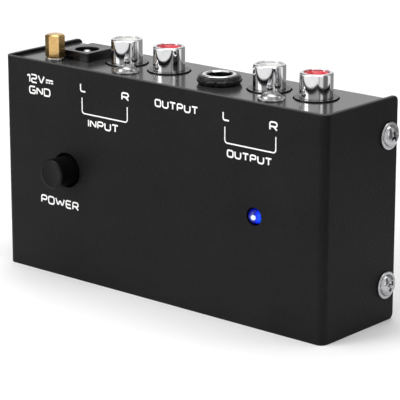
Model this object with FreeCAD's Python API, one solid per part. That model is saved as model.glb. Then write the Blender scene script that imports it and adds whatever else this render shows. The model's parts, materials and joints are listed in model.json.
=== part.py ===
import FreeCAD, Part
import math
import os

# Phono preamp in a folded steel case, standing on its long narrow edge.
# +X right, +Y from the label face to the back plate, +Z up towards the sockets. Millimetres.
# The origin is under the middle of the whole outline. Depths are measured from the label face.

# Case
CASE_WIDTH = 106.5
CASE_HEIGHT = 57.0
END_PLATE_DEPTH = 28.7
BACK_DEPTH = 28.0
COVER_SHEET = 1.0
CHASSIS_SHEET = 1.0
COVER_BEND_RADIUS = 2.0
CHASSIS_BEND_RADIUS = 1.5
PLATE_CORNER_RADIUS = 1.5
PANEL_RECESS = 0.8
COVER_GAP = 0.15
TAB_LENGTH = 6.0
TAB_INSET = 5.0
TAB_CORNER_RADIUS = 1.5
BLOCK_GAP = 0.05

# Screws through the end plates
COVER_SCREW_EDGE = 9.5
COVER_SCREW_BACK = 3.5
COVER_SCREW_RADIUS = 1.5
COVER_SCREW_LENGTH = 6.0
COVER_SCREW_FLANGE_RADIUS = 3.5
COVER_SCREW_FLANGE = 0.6
COVER_SCREW_DOME_RADIUS = 2.75
COVER_SCREW_DOME = 1.5
COVER_SCREW_CLEARANCE = 0.2
RECESS_ARM = 3.2
RECESS_WIDTH = 0.75
RECESS_DEPTH = 1.1

# Rubber feet on the back plate
FOOT_RADIUS = 4.0
FOOT_HEIGHT = 2.0
FOOT_EDGE_RADIUS = 0.7
FOOT_FROM_END = 9.25
FOOT_FROM_EDGE = 8.0

# Circuit board on four standoffs
BOARD_FRONT = 20.8
BOARD_THICKNESS = 1.6
BOARD_SIDE_GAP = 1.1
BOARD_END_GAP = 1.0
BOARD_CORNER_RADIUS = 1.0
STANDOFF_RADIUS = 2.75
STANDOFF_SHANK_RADIUS = 2.1
STANDOFF_FROM_BOARD_END = 6.0
STANDOFF_LOW_Z = 15.5
STANDOFF_HIGH_DROP = 17.2
BOARD_SCREW_RADIUS = 1.5
BOARD_SCREW_HEAD_RADIUS = 2.75
BOARD_SCREW_HEAD = 1.6
BOARD_SCREW_LENGTH = 5.0
BOARD_SCREW_CLEARANCE = 0.1
THREAD_GAP = 0.03

# Power button and its push switch
BUTTON_X = -31.3
BUTTON_Z = 29.2
BUTTON_RADIUS = 3.9
BUTTON_PROUD = 5.8
BUTTON_CHAMFER = 0.5
BUTTON_INNER_LENGTH = 4.2
BUTTON_FLANGE_RADIUS = 5.4
BUTTON_FLANGE = 0.8
BUTTON_FLANGE_DEPTH = 1.6
BUTTON_CLEARANCE = 0.7
BUTTON_TRAVEL = 2.5
PLUNGER_SIDE = 3.4
PLUNGER_GRIP = 4.6
PLUNGER_FIT = 0.05
PLUNGER_FOOT_SIDE = 5.6
PLUNGER_FOOT = 1.2
SWITCH_SIDE = 8.5
SWITCH_HEIGHT = 9.0
SWITCH_WALL = 1.0
SWITCH_LID = 1.0
SWITCH_FLOOR = 1.0
SWITCH_RUN_GAP = 0.3
SPRING_WIRE = 0.4
SPRING_RADIUS = 1.7
SPRING_CURLS = 5
SPRING_SEAT_GAP = 0.05
PIN_SIDE = 0.5
PIN_BELOW_BOARD = 1.4
PIN_HOLE_GAP = 0.1
SWITCH_PIN_PITCH = 2.5

# Indicator lamp
LED_X = 31.7
LED_Z = 28.5
LED_RADIUS = 1.95
LED_HOLE_RADIUS = 2.25
LED_PROUD = 0.9
LED_LENGTH = 5.2
LED_RIM_RADIUS = 2.5
LED_RIM = 1.0
LED_LEAD_PITCH = 2.54
LED_SPACER_RADIUS = 2.4
LED_LEAD_GAP = 0.1

# Phono sockets, two in each block
SOCKET_DEPTH = 15.8
SOCKET_PITCH = 14.6
INPUT_X = -16.7
OUTPUT_X = 30.85
SHELL_RADIUS = 4.15
SHELL_WALL = 0.45
SHELL_BURIED_RADIUS = 3.95
SHELL_SKIRT = 0.5
SHELL_PROUD = 6.5
SHELL_BURIED = 7.0
SHELL_EDGE_RADIUS = 0.4
SOCKET_HOLE_RADIUS = 5.75
SOCKET_BOSS_GAP = 0.35
SOCKET_BOSS_PROUD = 0.35
SOCKET_FIT = 0.05
INSULATOR_SUNK = 0.25
INSULATOR_HOLE_RADIUS = 1.65
INSULATOR_RIM = 1.2
INSULATOR_DISH = 0.8
CONTACT_WALL = 0.35
CONTACT_TOP_INSET = 1.2
CONTACT_BELOW_SHELL = 1.0
CONTACT_SLIT = 0.5
BLOCK_MARGIN = 5.6
BLOCK_HEIGHT = 12.5
BLOCK_FRONT = 4.2
BLOCK_EDGE_RADIUS = 0.6
BLOCK_SCREW_DEPTH = 7.5
BLOCK_SCREW_RADIUS = 1.4
BLOCK_SCREW_HEAD_RADIUS = 3.4
BLOCK_SCREW_DOME_RADIUS = 2.65
BLOCK_SCREW_HEAD = 1.9
BLOCK_SCREW_RIM = 0.5
BLOCK_SCREW_LENGTH = 7.0
TAIL_WIDTH = 1.0
TAIL_THICKNESS = 0.4

# 6.35 mm phone socket
PHONE_X = 9.8
PHONE_DEPTH = 13.0
PHONE_BORE_RADIUS = 3.25
PHONE_RING_RADIUS = 4.4
PHONE_RING_PROUD = 2.5
PHONE_RING_LENGTH = 9.0
PHONE_RING_EDGE = 0.35
PHONE_NECK_RADIUS = 4.95
PHONE_NECK_BELOW_RING = 0.15
PHONE_HOLE_GAP = 0.1
PHONE_NUT_RADIUS = 5.75
PHONE_NUT_TOP_RADIUS = 5.4
PHONE_NUT_FOOT_RADIUS = 5.2
PHONE_NUT_WAIST = 1.3
PHONE_NUT_HEIGHT = 2.2
PHONE_NUT_NOTCHES = 12
PHONE_NUT_NOTCH_RADIUS = 0.35
PHONE_BODY_WIDTH = 15.2
PHONE_BODY_HEIGHT = 24.0
PHONE_BODY_FRONT = 5.6
PHONE_BORE_LENGTH = 24.0
PHONE_SPRING_THICKNESS = 0.4
PHONE_SPRING_WIDTH = 3.0
PHONE_SPRING_DROPS = (7.0, 15.0)
PHONE_SPRING_LENGTH = 6.5

# DC power socket
DC_X = -36.5
DC_WIDTH = 9.0
DC_FRONT = 9.4
DC_PROUD = 2.3
DC_LENGTH = 14.4
DC_EDGE_RADIUS = 0.4
DC_BORE_DEPTH = 13.9
DC_BORE_RADIUS = 3.15
DC_BORE_LENGTH = 10.0
DC_PIN_RADIUS = 1.05
DC_PIN_SUNK = 0.3
DC_PIN_ROOT = 1.5
DC_OPENING_GAP = 0.2
DC_SPRING_WIDTH = 3.0
DC_SPRING_THICKNESS = 0.4

# Ground terminal
GROUND_X = -40.8
GROUND_DEPTH = 6.3
GROUND_NUT_FLATS = 4.5
GROUND_NUT_HEIGHT = 6.1
GROUND_NUT_TURN = 6.5
GROUND_NUT_CHAMFER = 0.35
GROUND_NUT_ROOF = 1.0
GROUND_WASHER_RADIUS = 2.6
GROUND_WASHER = 0.8
GROUND_WASHER_SPLIT = 0.5
GROUND_STUD_RADIUS = 1.5
GROUND_THREAD_GAP = 0.05
GROUND_TIP_GAP = 0.4
GROUND_HEAD_RADIUS = 2.75
GROUND_HEAD = 1.8
LUG_RADIUS = 2.8
LUG_THICKNESS = 0.5
LUG_TAIL_WIDTH = 2.6
LUG_TAIL_LENGTH = 6.4
WIRE_RADIUS = 0.65
WIRE_BEND_RADIUS = 4.0
WIRE_DROP_SHARE = 0.432

# Small parts on the board
CHIP_WIDTH = 9.4
CHIP_DEPTH = 6.4
CHIP_HEIGHT = 3.3
CHIP_STAND = 0.6
CHIP_PINS_PER_SIDE = 4
CHIP_PIN_PITCH = 2.54
CHIP_ROW_SPAN = 7.62
CHIP_LEFT = (-14.0, 27.0)
CHIP_RIGHT = (14.0, 20.0)
CAN_RADIUS = 2.5
CAN_HEIGHT = 9.0
CAN_EDGE_RADIUS = 0.5
CAN_LEAD_PITCH = 2.0
CAN_PLACES = ((-24.0, 15.0), (-16.0, 15.0), (-8.0, 15.0), (22.0, 32.0), (24.0, 12.0), (32.0, 12.0))
FILM_WIDTH = 7.2
FILM_THICKNESS = 2.6
FILM_HEIGHT = 6.5
FILM_EDGE_RADIUS = 0.5
FILM_LEAD_PITCH = 5.0
FILM_PLACES = ((-2.0, 30.0), (-2.0, 25.5), (14.0, 13.0), (14.0, 8.5))
RESISTOR_LENGTH = 6.2
RESISTOR_RADIUS = 1.15
RESISTOR_STAND = 0.3
RESISTOR_LEAD_RADIUS = 0.28
RESISTOR_SPAN = 9.0
RESISTOR_ROWS = (
    (-24.0, 8.0), (-12.0, 8.0), (0.0, 8.0), (0.0, 12.5), (0.0, 17.0), (36.0, 34.0), (38.5, 20.0))
REGULATOR_X = -38.0
REGULATOR_Z = 18.0
REGULATOR_WIDTH = 10.0
REGULATOR_THICKNESS = 4.4
REGULATOR_HEIGHT = 9.0
REGULATOR_TAB = 6.0
REGULATOR_TAB_THICKNESS = 1.3
REGULATOR_HOLE_RADIUS = 1.8
REGULATOR_PITCH = 2.54
REGULATOR_STAND = 3.0
DIODE_X = -38.5
DIODE_Z = 11.0
DIODE_LENGTH = 5.2
DIODE_RADIUS = 1.3

# Heights and depths that several pieces share
PANEL_TOP = CASE_HEIGHT - PANEL_RECESS
PANEL_UNDER = PANEL_TOP - CHASSIS_SHEET
LOWER_PANEL_TOP = PANEL_RECESS + CHASSIS_SHEET
BACK_INNER = BACK_DEPTH - CHASSIS_SHEET
BOARD_BACK = BOARD_FRONT + BOARD_THICKNESS
CHASSIS_HALF = CASE_WIDTH / 2 - COVER_SHEET - COVER_GAP
BOARD_HALF = CHASSIS_HALF - CHASSIS_SHEET - BOARD_SIDE_GAP
COVER_SCREW_DEPTH = END_PLATE_DEPTH - COVER_SCREW_BACK
OUTLINE_BACK = BACK_DEPTH + FOOT_HEIGHT
FRONT_Y = (BUTTON_PROUD - OUTLINE_BACK) / 2
UP = FreeCAD.Vector(0, 0, 1)
BACKWARDS = FreeCAD.Vector(0, 1, 0)


def at(x, depth, z):
    return FreeCAD.Vector(x, FRONT_Y + depth, z)


def block(x0, x1, d0, d1, z0, z1):
    return Part.makeBox(x1 - x0, d1 - d0, z1 - z0, at(x0, d0, z0))


def rod(radius, x, depth, z0, z1):
    """Upright cylinder between two heights."""
    return Part.makeCylinder(radius, z1 - z0, at(x, depth, z0), UP)


def bar(radius, x, z, d0, d1):
    """Cylinder that runs from front to back between two depths."""
    return Part.makeCylinder(radius, d1 - d0, at(x, d0, z), BACKWARDS)


def edges_along(shape, axis):
    """Straight edges that run along one axis, 0 for X, 1 for Y and 2 for Z."""
    found = []
    for edge in shape.Edges:
        run = edge.Vertexes[-1].Point - edge.Vertexes[0].Point
        if len(edge.Vertexes) == 2 and abs(abs(run[axis]) - run.Length) < 1e-6 and run.Length > 1e-6:
            found.append(edge)
    return found


def save(name, *solids):
    """Writes one piece, or one group of like pieces, as a node."""
    parts = [s for shape in solids for s in shape.Solids]
    shape = parts[0] if len(parts) == 1 else Part.makeCompound(parts)
    for solid in parts:
        if not solid.isValid():
            print("invalid solid in", name)
    shape.exportStep("parts/" + name + ".step")


def revolved(points, origin, direction):
    """Turns a closed outline of (radius, height) points about an axis through origin."""
    across = BACKWARDS if abs(direction.dot(UP)) > 0.5 else UP
    ring = [origin + across * r + direction * h for r, h in points]
    face = Part.Face(Part.makePolygon(ring + ring[:1]))
    return face.revolve(origin, direction, 360)


def cross_recess(origin, direction, arm, depth):
    """Cross-shaped pit that a screwdriver enters, cut from origin against direction."""
    pit = None
    turn = FreeCAD.Rotation(UP, direction)
    for angle in (0, 90):
        arm_box = Part.makeBox(
            arm, RECESS_WIDTH, depth * 2, FreeCAD.Vector(-arm / 2, -RECESS_WIDTH / 2, -depth))
        arm_box.rotate(FreeCAD.Vector(), UP, angle)
        pit = arm_box if pit is None else pit.fuse(arm_box)
    pit.Placement = FreeCAD.Placement(origin, turn).multiply(pit.Placement)
    return pit


def domed_screw(seat, direction, flange_radius, flange, dome_radius, dome, radius, length):
    """Screw seated at a point: rim, domed head with a cross recess, and a shank behind the seat."""
    outline = [(0, 0), (flange_radius, 0), (flange_radius, flange)]
    outline.append((dome_radius, flange))
    steps = 6
    for step in range(1, steps):
        angle = math.pi / 2 * step / steps
        outline.append((dome_radius * math.cos(angle), flange + (dome - flange) * math.sin(angle)))
    outline.append((0, dome))
    head = revolved(outline, seat, direction)
    shank = Part.makeCylinder(radius, length, seat - direction * length, direction)
    recess = cross_recess(seat + direction * dome, direction, RECESS_ARM, RECESS_DEPTH)
    return head.fuse(shank).cut(recess).removeSplitter()


def cover():
    """Label face with an end plate bent back at each end, from one sheet."""
    half = CASE_WIDTH / 2
    shell = block(-half, half, 0, END_PLATE_DEPTH, 0, CASE_HEIGHT)
    outer = [e for e in edges_along(shell, 2) if e.CenterOfMass.y < FRONT_Y + COVER_SHEET]
    shell = shell.makeFillet(COVER_BEND_RADIUS, outer)
    inner_half = half - COVER_SHEET
    inner = block(-inner_half, inner_half, COVER_SHEET, END_PLATE_DEPTH * 2, -1, CASE_HEIGHT + 1)
    bends = [e for e in edges_along(inner, 2) if e.CenterOfMass.y < FRONT_Y + COVER_SHEET * 2]
    inner = inner.makeFillet(COVER_BEND_RADIUS - COVER_SHEET, bends)
    shell = shell.cut(inner)
    corners = [e for e in edges_along(shell, 0) if e.CenterOfMass.y > FRONT_Y + END_PLATE_DEPTH - 0.1]
    shell = shell.makeFillet(PLATE_CORNER_RADIUS, corners)
    shell = shell.cut(bar(BUTTON_RADIUS + BUTTON_CLEARANCE, BUTTON_X, BUTTON_Z, -1, COVER_SHEET + 1))
    shell = shell.cut(bar(LED_HOLE_RADIUS, LED_X, LED_Z, -1, COVER_SHEET + 1))
    for z in (COVER_SCREW_EDGE, CASE_HEIGHT - COVER_SCREW_EDGE):
        hole = Part.makeCylinder(
            COVER_SCREW_RADIUS + COVER_SCREW_CLEARANCE, CASE_WIDTH + 2,
            at(-half - 1, COVER_SCREW_DEPTH, z), FreeCAD.Vector(1, 0, 0))
        shell = shell.cut(hole)
    return shell


def chassis():
    """Socket panel, back plate and lower panel from one sheet, with a tab at each end for the screws."""
    front = COVER_SHEET + COVER_GAP
    tray = block(-CHASSIS_HALF, CHASSIS_HALF, front, BACK_DEPTH, PANEL_RECESS, PANEL_TOP)
    outer = [e for e in edges_along(tray, 0) if e.CenterOfMass.y > FRONT_Y + BACK_DEPTH - 0.1]
    tray = tray.makeFillet(CHASSIS_BEND_RADIUS, outer)
    corners = [e for e in edges_along(tray, 2) if e.CenterOfMass.y < FRONT_Y + front + 0.1]
    tray = tray.makeFillet(COVER_BEND_RADIUS - COVER_SHEET, corners)
    inner = block(-CHASSIS_HALF - 1, CHASSIS_HALF + 1, -1, BACK_INNER, LOWER_PANEL_TOP, PANEL_UNDER)
    bends = [e for e in edges_along(inner, 0) if e.CenterOfMass.y > FRONT_Y + BACK_INNER - 0.1]
    inner = inner.makeFillet(CHASSIS_BEND_RADIUS - CHASSIS_SHEET, bends)
    tray = tray.cut(inner)
    low = PANEL_RECESS + TAB_INSET
    high = PANEL_TOP - TAB_INSET
    for side in (-1, 1):
        outside = side * CHASSIS_HALF
        inside = side * (CHASSIS_HALF - CHASSIS_SHEET)
        tab = block(
            min(outside, inside), max(outside, inside), BACK_DEPTH - TAB_LENGTH, BACK_INNER, low,
            high)
        corners = [
            e for e in edges_along(tab, 0) if e.CenterOfMass.y < FRONT_Y + BACK_DEPTH - TAB_LENGTH + 0.1]
        tab = tab.makeFillet(TAB_CORNER_RADIUS, corners)
        tray = tray.fuse(tab)
    tray = tray.removeSplitter()
    for z in (COVER_SCREW_EDGE, CASE_HEIGHT - COVER_SCREW_EDGE):
        hole = Part.makeCylinder(
            COVER_SCREW_RADIUS + THREAD_GAP, CASE_WIDTH, at(-CASE_WIDTH / 2, COVER_SCREW_DEPTH, z),
            FreeCAD.Vector(1, 0, 0))
        tray = tray.cut(hole)
    below = PANEL_UNDER - 1
    above = PANEL_TOP + 1
    for x in socket_places():
        tray = tray.cut(rod(SOCKET_HOLE_RADIUS, x, SOCKET_DEPTH, below, above))
    for x in (INPUT_X, OUTPUT_X):
        tray = tray.cut(rod(BLOCK_SCREW_RADIUS + BOARD_SCREW_CLEARANCE, x, BLOCK_SCREW_DEPTH, below, above))
    tray = tray.cut(rod(PHONE_NECK_RADIUS + PHONE_HOLE_GAP, PHONE_X, PHONE_DEPTH, below, above))
    tray = tray.cut(rod(GROUND_STUD_RADIUS + BOARD_SCREW_CLEARANCE, GROUND_X, GROUND_DEPTH, below, above))
    gap = DC_OPENING_GAP
    opening = block(
        DC_X - DC_WIDTH / 2 - gap, DC_X + DC_WIDTH / 2 + gap, DC_FRONT - gap, BOARD_FRONT + gap,
        below, above)
    tray = tray.cut(opening)
    for x, z in standoff_places():
        tray = tray.cut(bar(STANDOFF_SHANK_RADIUS + THREAD_GAP, x, z, BACK_INNER - 1, BACK_DEPTH + 1))
    return tray


def cover_screws():
    screws = []
    for side in (-1, 1):
        direction = FreeCAD.Vector(side, 0, 0)
        for z in (COVER_SCREW_EDGE, CASE_HEIGHT - COVER_SCREW_EDGE):
            seat = at(side * CASE_WIDTH / 2, COVER_SCREW_DEPTH, z)
            screws.append(domed_screw(
                seat, direction, COVER_SCREW_FLANGE_RADIUS, COVER_SCREW_FLANGE, COVER_SCREW_DOME_RADIUS,
                COVER_SCREW_FLANGE + COVER_SCREW_DOME, COVER_SCREW_RADIUS, COVER_SCREW_LENGTH))
    return screws


def rubber_feet():
    feet = []
    foot_x = CASE_WIDTH / 2 - FOOT_FROM_END
    for x in (-foot_x, foot_x):
        for z in (FOOT_FROM_EDGE, CASE_HEIGHT - FOOT_FROM_EDGE):
            foot = bar(FOOT_RADIUS, x, z, BACK_DEPTH, BACK_DEPTH + FOOT_HEIGHT)
            rim = [e for e in foot.Edges if e.CenterOfMass.y > FRONT_Y + BACK_DEPTH + FOOT_HEIGHT - 0.1]
            feet.append(foot.makeFillet(FOOT_EDGE_RADIUS, rim))
    return feet


def socket_places():
    """X of the four phono sockets, left to right."""
    return [x + side * SOCKET_PITCH / 2 for x in (INPUT_X, OUTPUT_X) for side in (-1, 1)]


def standoff_places():
    reach = BOARD_HALF - STANDOFF_FROM_BOARD_END
    return [(x, z) for x in (-reach, reach) for z in (STANDOFF_LOW_Z, PANEL_UNDER - STANDOFF_HIGH_DROP)]


def lead_places():
    """X, Z and half-size of every lead that passes through the board."""
    half = PIN_SIDE / 2
    leads = []
    for x, z in switch_pin_places():
        leads.append((x, z, half, half))
    for side in (-1, 1):
        leads.append((LED_X + side * LED_LEAD_PITCH / 2, LED_Z, half, half))
    for x in socket_places():
        leads.append((x, shell_tail_z(), TAIL_WIDTH / 2, TAIL_THICKNESS / 2))
        leads.append((x, contact_tail_z(), TAIL_WIDTH / 2, TAIL_THICKNESS / 2))
    for x, z in (CHIP_LEFT, CHIP_RIGHT):
        for px, pz in chip_pin_places(x, z):
            leads.append((px, pz, half, half))
    return leads


def circuit_board():
    low = LOWER_PANEL_TOP + BOARD_END_GAP
    high = PANEL_UNDER - BOARD_END_GAP
    board = block(-BOARD_HALF, BOARD_HALF, BOARD_FRONT, BOARD_BACK, low, high)
    board = board.makeFillet(BOARD_CORNER_RADIUS, edges_along(board, 1))
    for x, z in standoff_places():
        board = board.cut(
            bar(BOARD_SCREW_RADIUS + BOARD_SCREW_CLEARANCE, x, z, BOARD_FRONT - 1, BOARD_BACK + 1))
    gap = PIN_HOLE_GAP
    for x, z, half_x, half_z in lead_places():
        hole = block(
            x - half_x - gap, x + half_x + gap, BOARD_FRONT - 1, BOARD_BACK + 1, z - half_z - gap,
            z + half_z + gap)
        board = board.cut(hole)
    return board


def board_standoffs():
    """Threaded pillars pressed into the back plate."""
    pillars = []
    for x, z in standoff_places():
        pillar = bar(STANDOFF_RADIUS, x, z, BOARD_BACK, BACK_INNER)
        pillar = pillar.fuse(bar(STANDOFF_SHANK_RADIUS, x, z, BACK_INNER, BACK_DEPTH))
        pillars.append(
            pillar.cut(bar(BOARD_SCREW_RADIUS + THREAD_GAP, x, z, BOARD_BACK - 1, BACK_DEPTH + 1)))
    return pillars


def board_screws():
    screws = []
    for x, z in standoff_places():
        screws.append(domed_screw(
            at(x, BOARD_FRONT, z), -BACKWARDS, BOARD_SCREW_HEAD_RADIUS, BOARD_SCREW_HEAD / 2,
            BOARD_SCREW_HEAD_RADIUS, BOARD_SCREW_HEAD, BOARD_SCREW_RADIUS, BOARD_SCREW_LENGTH))
    return screws


def square_bar(side, x, z, d0, d1):
    return block(x - side / 2, x + side / 2, d0, d1, z - side / 2, z + side / 2)


def power_button_cap():
    """Round cap with a flange that stops it inside the label face and a square socket for the plunger."""
    cap = bar(BUTTON_RADIUS, BUTTON_X, BUTTON_Z, -BUTTON_PROUD, BUTTON_INNER_LENGTH)
    rim = [e for e in cap.Edges if e.CenterOfMass.y < FRONT_Y - BUTTON_PROUD + 0.1]
    cap = cap.makeChamfer(BUTTON_CHAMFER, rim)
    flange_front = COVER_SHEET + BUTTON_FLANGE_DEPTH
    cap = cap.fuse(
        bar(BUTTON_FLANGE_RADIUS, BUTTON_X, BUTTON_Z, flange_front, flange_front + BUTTON_FLANGE))
    socket = square_bar(
        PLUNGER_SIDE + 2 * PLUNGER_FIT, BUTTON_X, BUTTON_Z, BUTTON_INNER_LENGTH - PLUNGER_GRIP,
        BUTTON_INNER_LENGTH + 1)
    return cap.cut(socket).removeSplitter()


def switch_front():
    return BOARD_FRONT - SWITCH_HEIGHT


def plunger_foot_back():
    """Depth of the plunger's foot, which rests against the inside of the switch's lid."""
    return switch_front() + SWITCH_LID + SWITCH_RUN_GAP + PLUNGER_FOOT


def power_switch_plunger():
    stem = square_bar(
        PLUNGER_SIDE, BUTTON_X, BUTTON_Z, BUTTON_INNER_LENGTH - PLUNGER_GRIP + PLUNGER_FIT,
        plunger_foot_back())
    foot = square_bar(
        PLUNGER_FOOT_SIDE, BUTTON_X, BUTTON_Z, plunger_foot_back() - PLUNGER_FOOT,
        plunger_foot_back())
    return stem.fuse(foot).removeSplitter()


def power_switch_housing():
    box = square_bar(SWITCH_SIDE, BUTTON_X, BUTTON_Z, switch_front(), BOARD_FRONT)
    cavity = square_bar(
        SWITCH_SIDE - 2 * SWITCH_WALL, BUTTON_X, BUTTON_Z, switch_front() + SWITCH_LID,
        BOARD_FRONT - SWITCH_FLOOR)
    mouth = square_bar(
        PLUNGER_SIDE + 2 * SWITCH_RUN_GAP, BUTTON_X, BUTTON_Z, switch_front() - 1,
        switch_front() + SWITCH_LID + 1)
    return box.cut(cavity).cut(mouth)


def power_switch_spring():
    """Return spring between the plunger's foot and the switch's floor."""
    start = plunger_foot_back() + SPRING_WIRE / 2 + SPRING_SEAT_GAP
    length = BOARD_FRONT - SWITCH_FLOOR - SPRING_WIRE / 2 - SPRING_SEAT_GAP - start
    pitch = length / SPRING_CURLS
    helix = Part.makeHelix(pitch, length, SPRING_RADIUS)
    section = Part.Wire(Part.makeCircle(SPRING_WIRE / 2, FreeCAD.Vector(SPRING_RADIUS, 0, 0), BACKWARDS))
    coil = Part.Wire(helix).makePipeShell([section], True, True)
    coil.Placement = FreeCAD.Placement(at(BUTTON_X, start, BUTTON_Z), FreeCAD.Rotation(UP, BACKWARDS))
    print("power_switch_spring gap between curls", round(pitch - SPRING_WIRE, 3))
    return coil


def switch_pin_places():
    return [
        (BUTTON_X + side * (SWITCH_SIDE / 2 - SWITCH_WALL), BUTTON_Z + row * SWITCH_PIN_PITCH)
        for side in (-1, 1) for row in (-1, 0, 1)]


def power_switch_pins():
    return [
        square_bar(PIN_SIDE, x, z, BOARD_FRONT, BOARD_BACK + PIN_BELOW_BOARD)
        for x, z in switch_pin_places()]


def led_rim_back():
    return LED_LENGTH + LED_RIM - LED_PROUD


def led_lens():
    """Clear body with a domed front and a rim at its root."""
    straight = LED_RADIUS - LED_PROUD
    body = bar(LED_RADIUS, LED_X, LED_Z, straight, led_rim_back())
    dome = Part.makeSphere(LED_RADIUS, at(LED_X, straight, LED_Z))
    rim = bar(LED_RIM_RADIUS, LED_X, LED_Z, led_rim_back() - LED_RIM, led_rim_back())
    return body.fuse([dome, rim]).removeSplitter()


def led_leads():
    return [
        square_bar(
            PIN_SIDE, LED_X + side * LED_LEAD_PITCH / 2, LED_Z, led_rim_back(),
            BOARD_BACK + PIN_BELOW_BOARD)
        for side in (-1, 1)]


def led_spacer():
    """Tube that holds the lamp at the height of its hole."""
    tube = bar(LED_SPACER_RADIUS, LED_X, LED_Z, led_rim_back(), BOARD_FRONT)
    for side in (-1, 1):
        x = LED_X + side * LED_LEAD_PITCH / 2
        tube = tube.cut(
            square_bar(PIN_SIDE + 2 * LED_LEAD_GAP, x, LED_Z, led_rim_back() - 1, BOARD_FRONT + 1))
    return tube


def shell_bottom():
    return PANEL_TOP - SHELL_BURIED


def shell_top():
    return PANEL_TOP + SHELL_PROUD


def contact_top():
    return shell_top() - INSULATOR_SUNK - CONTACT_TOP_INSET


def shell_tail_z():
    return shell_bottom() + TAIL_THICKNESS / 2


def contact_bottom():
    return shell_bottom() - CONTACT_BELOW_SHELL


def contact_tail_z():
    return contact_bottom() - TAIL_THICKNESS / 2


def contact_radius():
    return INSULATOR_HOLE_RADIUS + CONTACT_WALL


def phono_shell(x):
    """Chrome tube that the plug's collar grips, slimmer where it is buried, with a tail to the board."""
    inner = SHELL_RADIUS - SHELL_WALL
    tube = rod(SHELL_RADIUS, x, SOCKET_DEPTH, PANEL_TOP + SHELL_SKIRT, shell_top())
    rim = [e for e in tube.Edges if e.CenterOfMass.z > shell_top() - 0.1 and len(e.Vertexes) == 1]
    tube = tube.makeFillet(SHELL_EDGE_RADIUS, rim)
    tube = tube.fuse(rod(SHELL_BURIED_RADIUS, x, SOCKET_DEPTH, shell_bottom(), PANEL_TOP + SHELL_SKIRT))
    tube = tube.cut(rod(inner, x, SOCKET_DEPTH, shell_bottom() - 1, shell_top() + 1))
    tail = block(
        x - TAIL_WIDTH / 2, x + TAIL_WIDTH / 2, SOCKET_DEPTH + inner,
        BOARD_BACK + PIN_BELOW_BOARD, shell_bottom(), shell_bottom() + TAIL_THICKNESS)
    tail = tail.cut(
        rod((inner + SHELL_BURIED_RADIUS) / 2, x, SOCKET_DEPTH, shell_bottom() - 1, shell_top()))
    return tube.fuse(tail).removeSplitter()


def phono_insulator(x):
    """Plastic core of a socket, dished round the pin's hole, with a pocket for the contact."""
    top = shell_top() - INSULATOR_SUNK
    core = rod(SHELL_RADIUS - SHELL_WALL - SOCKET_FIT, x, SOCKET_DEPTH, shell_bottom(), top)
    dish = revolved(
        [
            (0, 0.1), (INSULATOR_HOLE_RADIUS + INSULATOR_DISH + 0.1, 0.1),
            (INSULATOR_HOLE_RADIUS, -INSULATOR_DISH), (0, -INSULATOR_DISH)],
        at(x, SOCKET_DEPTH, top), UP)
    core = core.cut(dish)
    core = core.cut(rod(INSULATOR_HOLE_RADIUS, x, SOCKET_DEPTH, shell_bottom() - 1, top + 1))
    return core.cut(rod(contact_radius() + SOCKET_FIT, x, SOCKET_DEPTH, shell_bottom() - 1, contact_top()))


def phono_contact(x):
    """Slit tube that grips the plug's pin, with a tail to the board."""
    low = contact_bottom()
    tube = rod(contact_radius(), x, SOCKET_DEPTH, low, contact_top())
    tube = tube.cut(rod(INSULATOR_HOLE_RADIUS, x, SOCKET_DEPTH, low - 1, contact_top() + 1))
    slit = block(
        x - CONTACT_SLIT / 2, x + CONTACT_SLIT / 2, SOCKET_DEPTH - SHELL_RADIUS, SOCKET_DEPTH,
        (low + contact_top()) / 2, contact_top() + 1)
    floor = rod(contact_radius(), x, SOCKET_DEPTH, low - TAIL_THICKNESS, low)
    tail = block(
        x - TAIL_WIDTH / 2, x + TAIL_WIDTH / 2, SOCKET_DEPTH, BOARD_BACK + PIN_BELOW_BOARD,
        low - TAIL_THICKNESS, low)
    return tube.cut(slit).fuse([floor, tail]).removeSplitter()


def jack_block(middle):
    """Moulded body behind the panel, with a boss in each panel hole and pockets for the shells."""
    half = SOCKET_PITCH / 2 + BLOCK_MARGIN
    low = PANEL_UNDER - BLOCK_HEIGHT
    body = block(middle - half, middle + half, BLOCK_FRONT, BOARD_FRONT, low, PANEL_UNDER)
    body = body.makeFillet(BLOCK_EDGE_RADIUS, edges_along(body, 2))
    for side in (-1, 1):
        x = middle + side * SOCKET_PITCH / 2
        boss_top = PANEL_TOP + SOCKET_BOSS_PROUD
        body = body.fuse(rod(SOCKET_HOLE_RADIUS - SOCKET_BOSS_GAP, x, SOCKET_DEPTH, PANEL_UNDER, boss_top))
    for side in (-1, 1):
        x = middle + side * SOCKET_PITCH / 2
        body = body.cut(
            rod(SHELL_BURIED_RADIUS + SOCKET_FIT, x, SOCKET_DEPTH, shell_bottom(), PANEL_TOP + 1))
        body = body.cut(
            rod(contact_radius() + SOCKET_FIT, x, SOCKET_DEPTH, low + BLOCK_EDGE_RADIUS, shell_bottom() + 1))
        gap = SOCKET_FIT
        for tail_z in (shell_tail_z(), contact_tail_z()):
            body = body.cut(block(
                x - TAIL_WIDTH / 2 - gap, x + TAIL_WIDTH / 2 + gap, SOCKET_DEPTH, BOARD_FRONT + 1,
                tail_z - TAIL_THICKNESS / 2 - gap, tail_z + TAIL_THICKNESS / 2 + gap))
    hole = rod(
        BLOCK_SCREW_RADIUS + THREAD_GAP, middle, BLOCK_SCREW_DEPTH,
        PANEL_UNDER - BLOCK_SCREW_LENGTH, PANEL_TOP + 1)
    return body.cut(hole).removeSplitter()


def jack_block_screws():
    screws = []
    for x in (INPUT_X, OUTPUT_X):
        screws.append(domed_screw(
            at(x, BLOCK_SCREW_DEPTH, PANEL_TOP), UP, BLOCK_SCREW_HEAD_RADIUS, BLOCK_SCREW_RIM,
            BLOCK_SCREW_DOME_RADIUS, BLOCK_SCREW_HEAD, BLOCK_SCREW_RADIUS, BLOCK_SCREW_LENGTH))
    return screws


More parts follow.
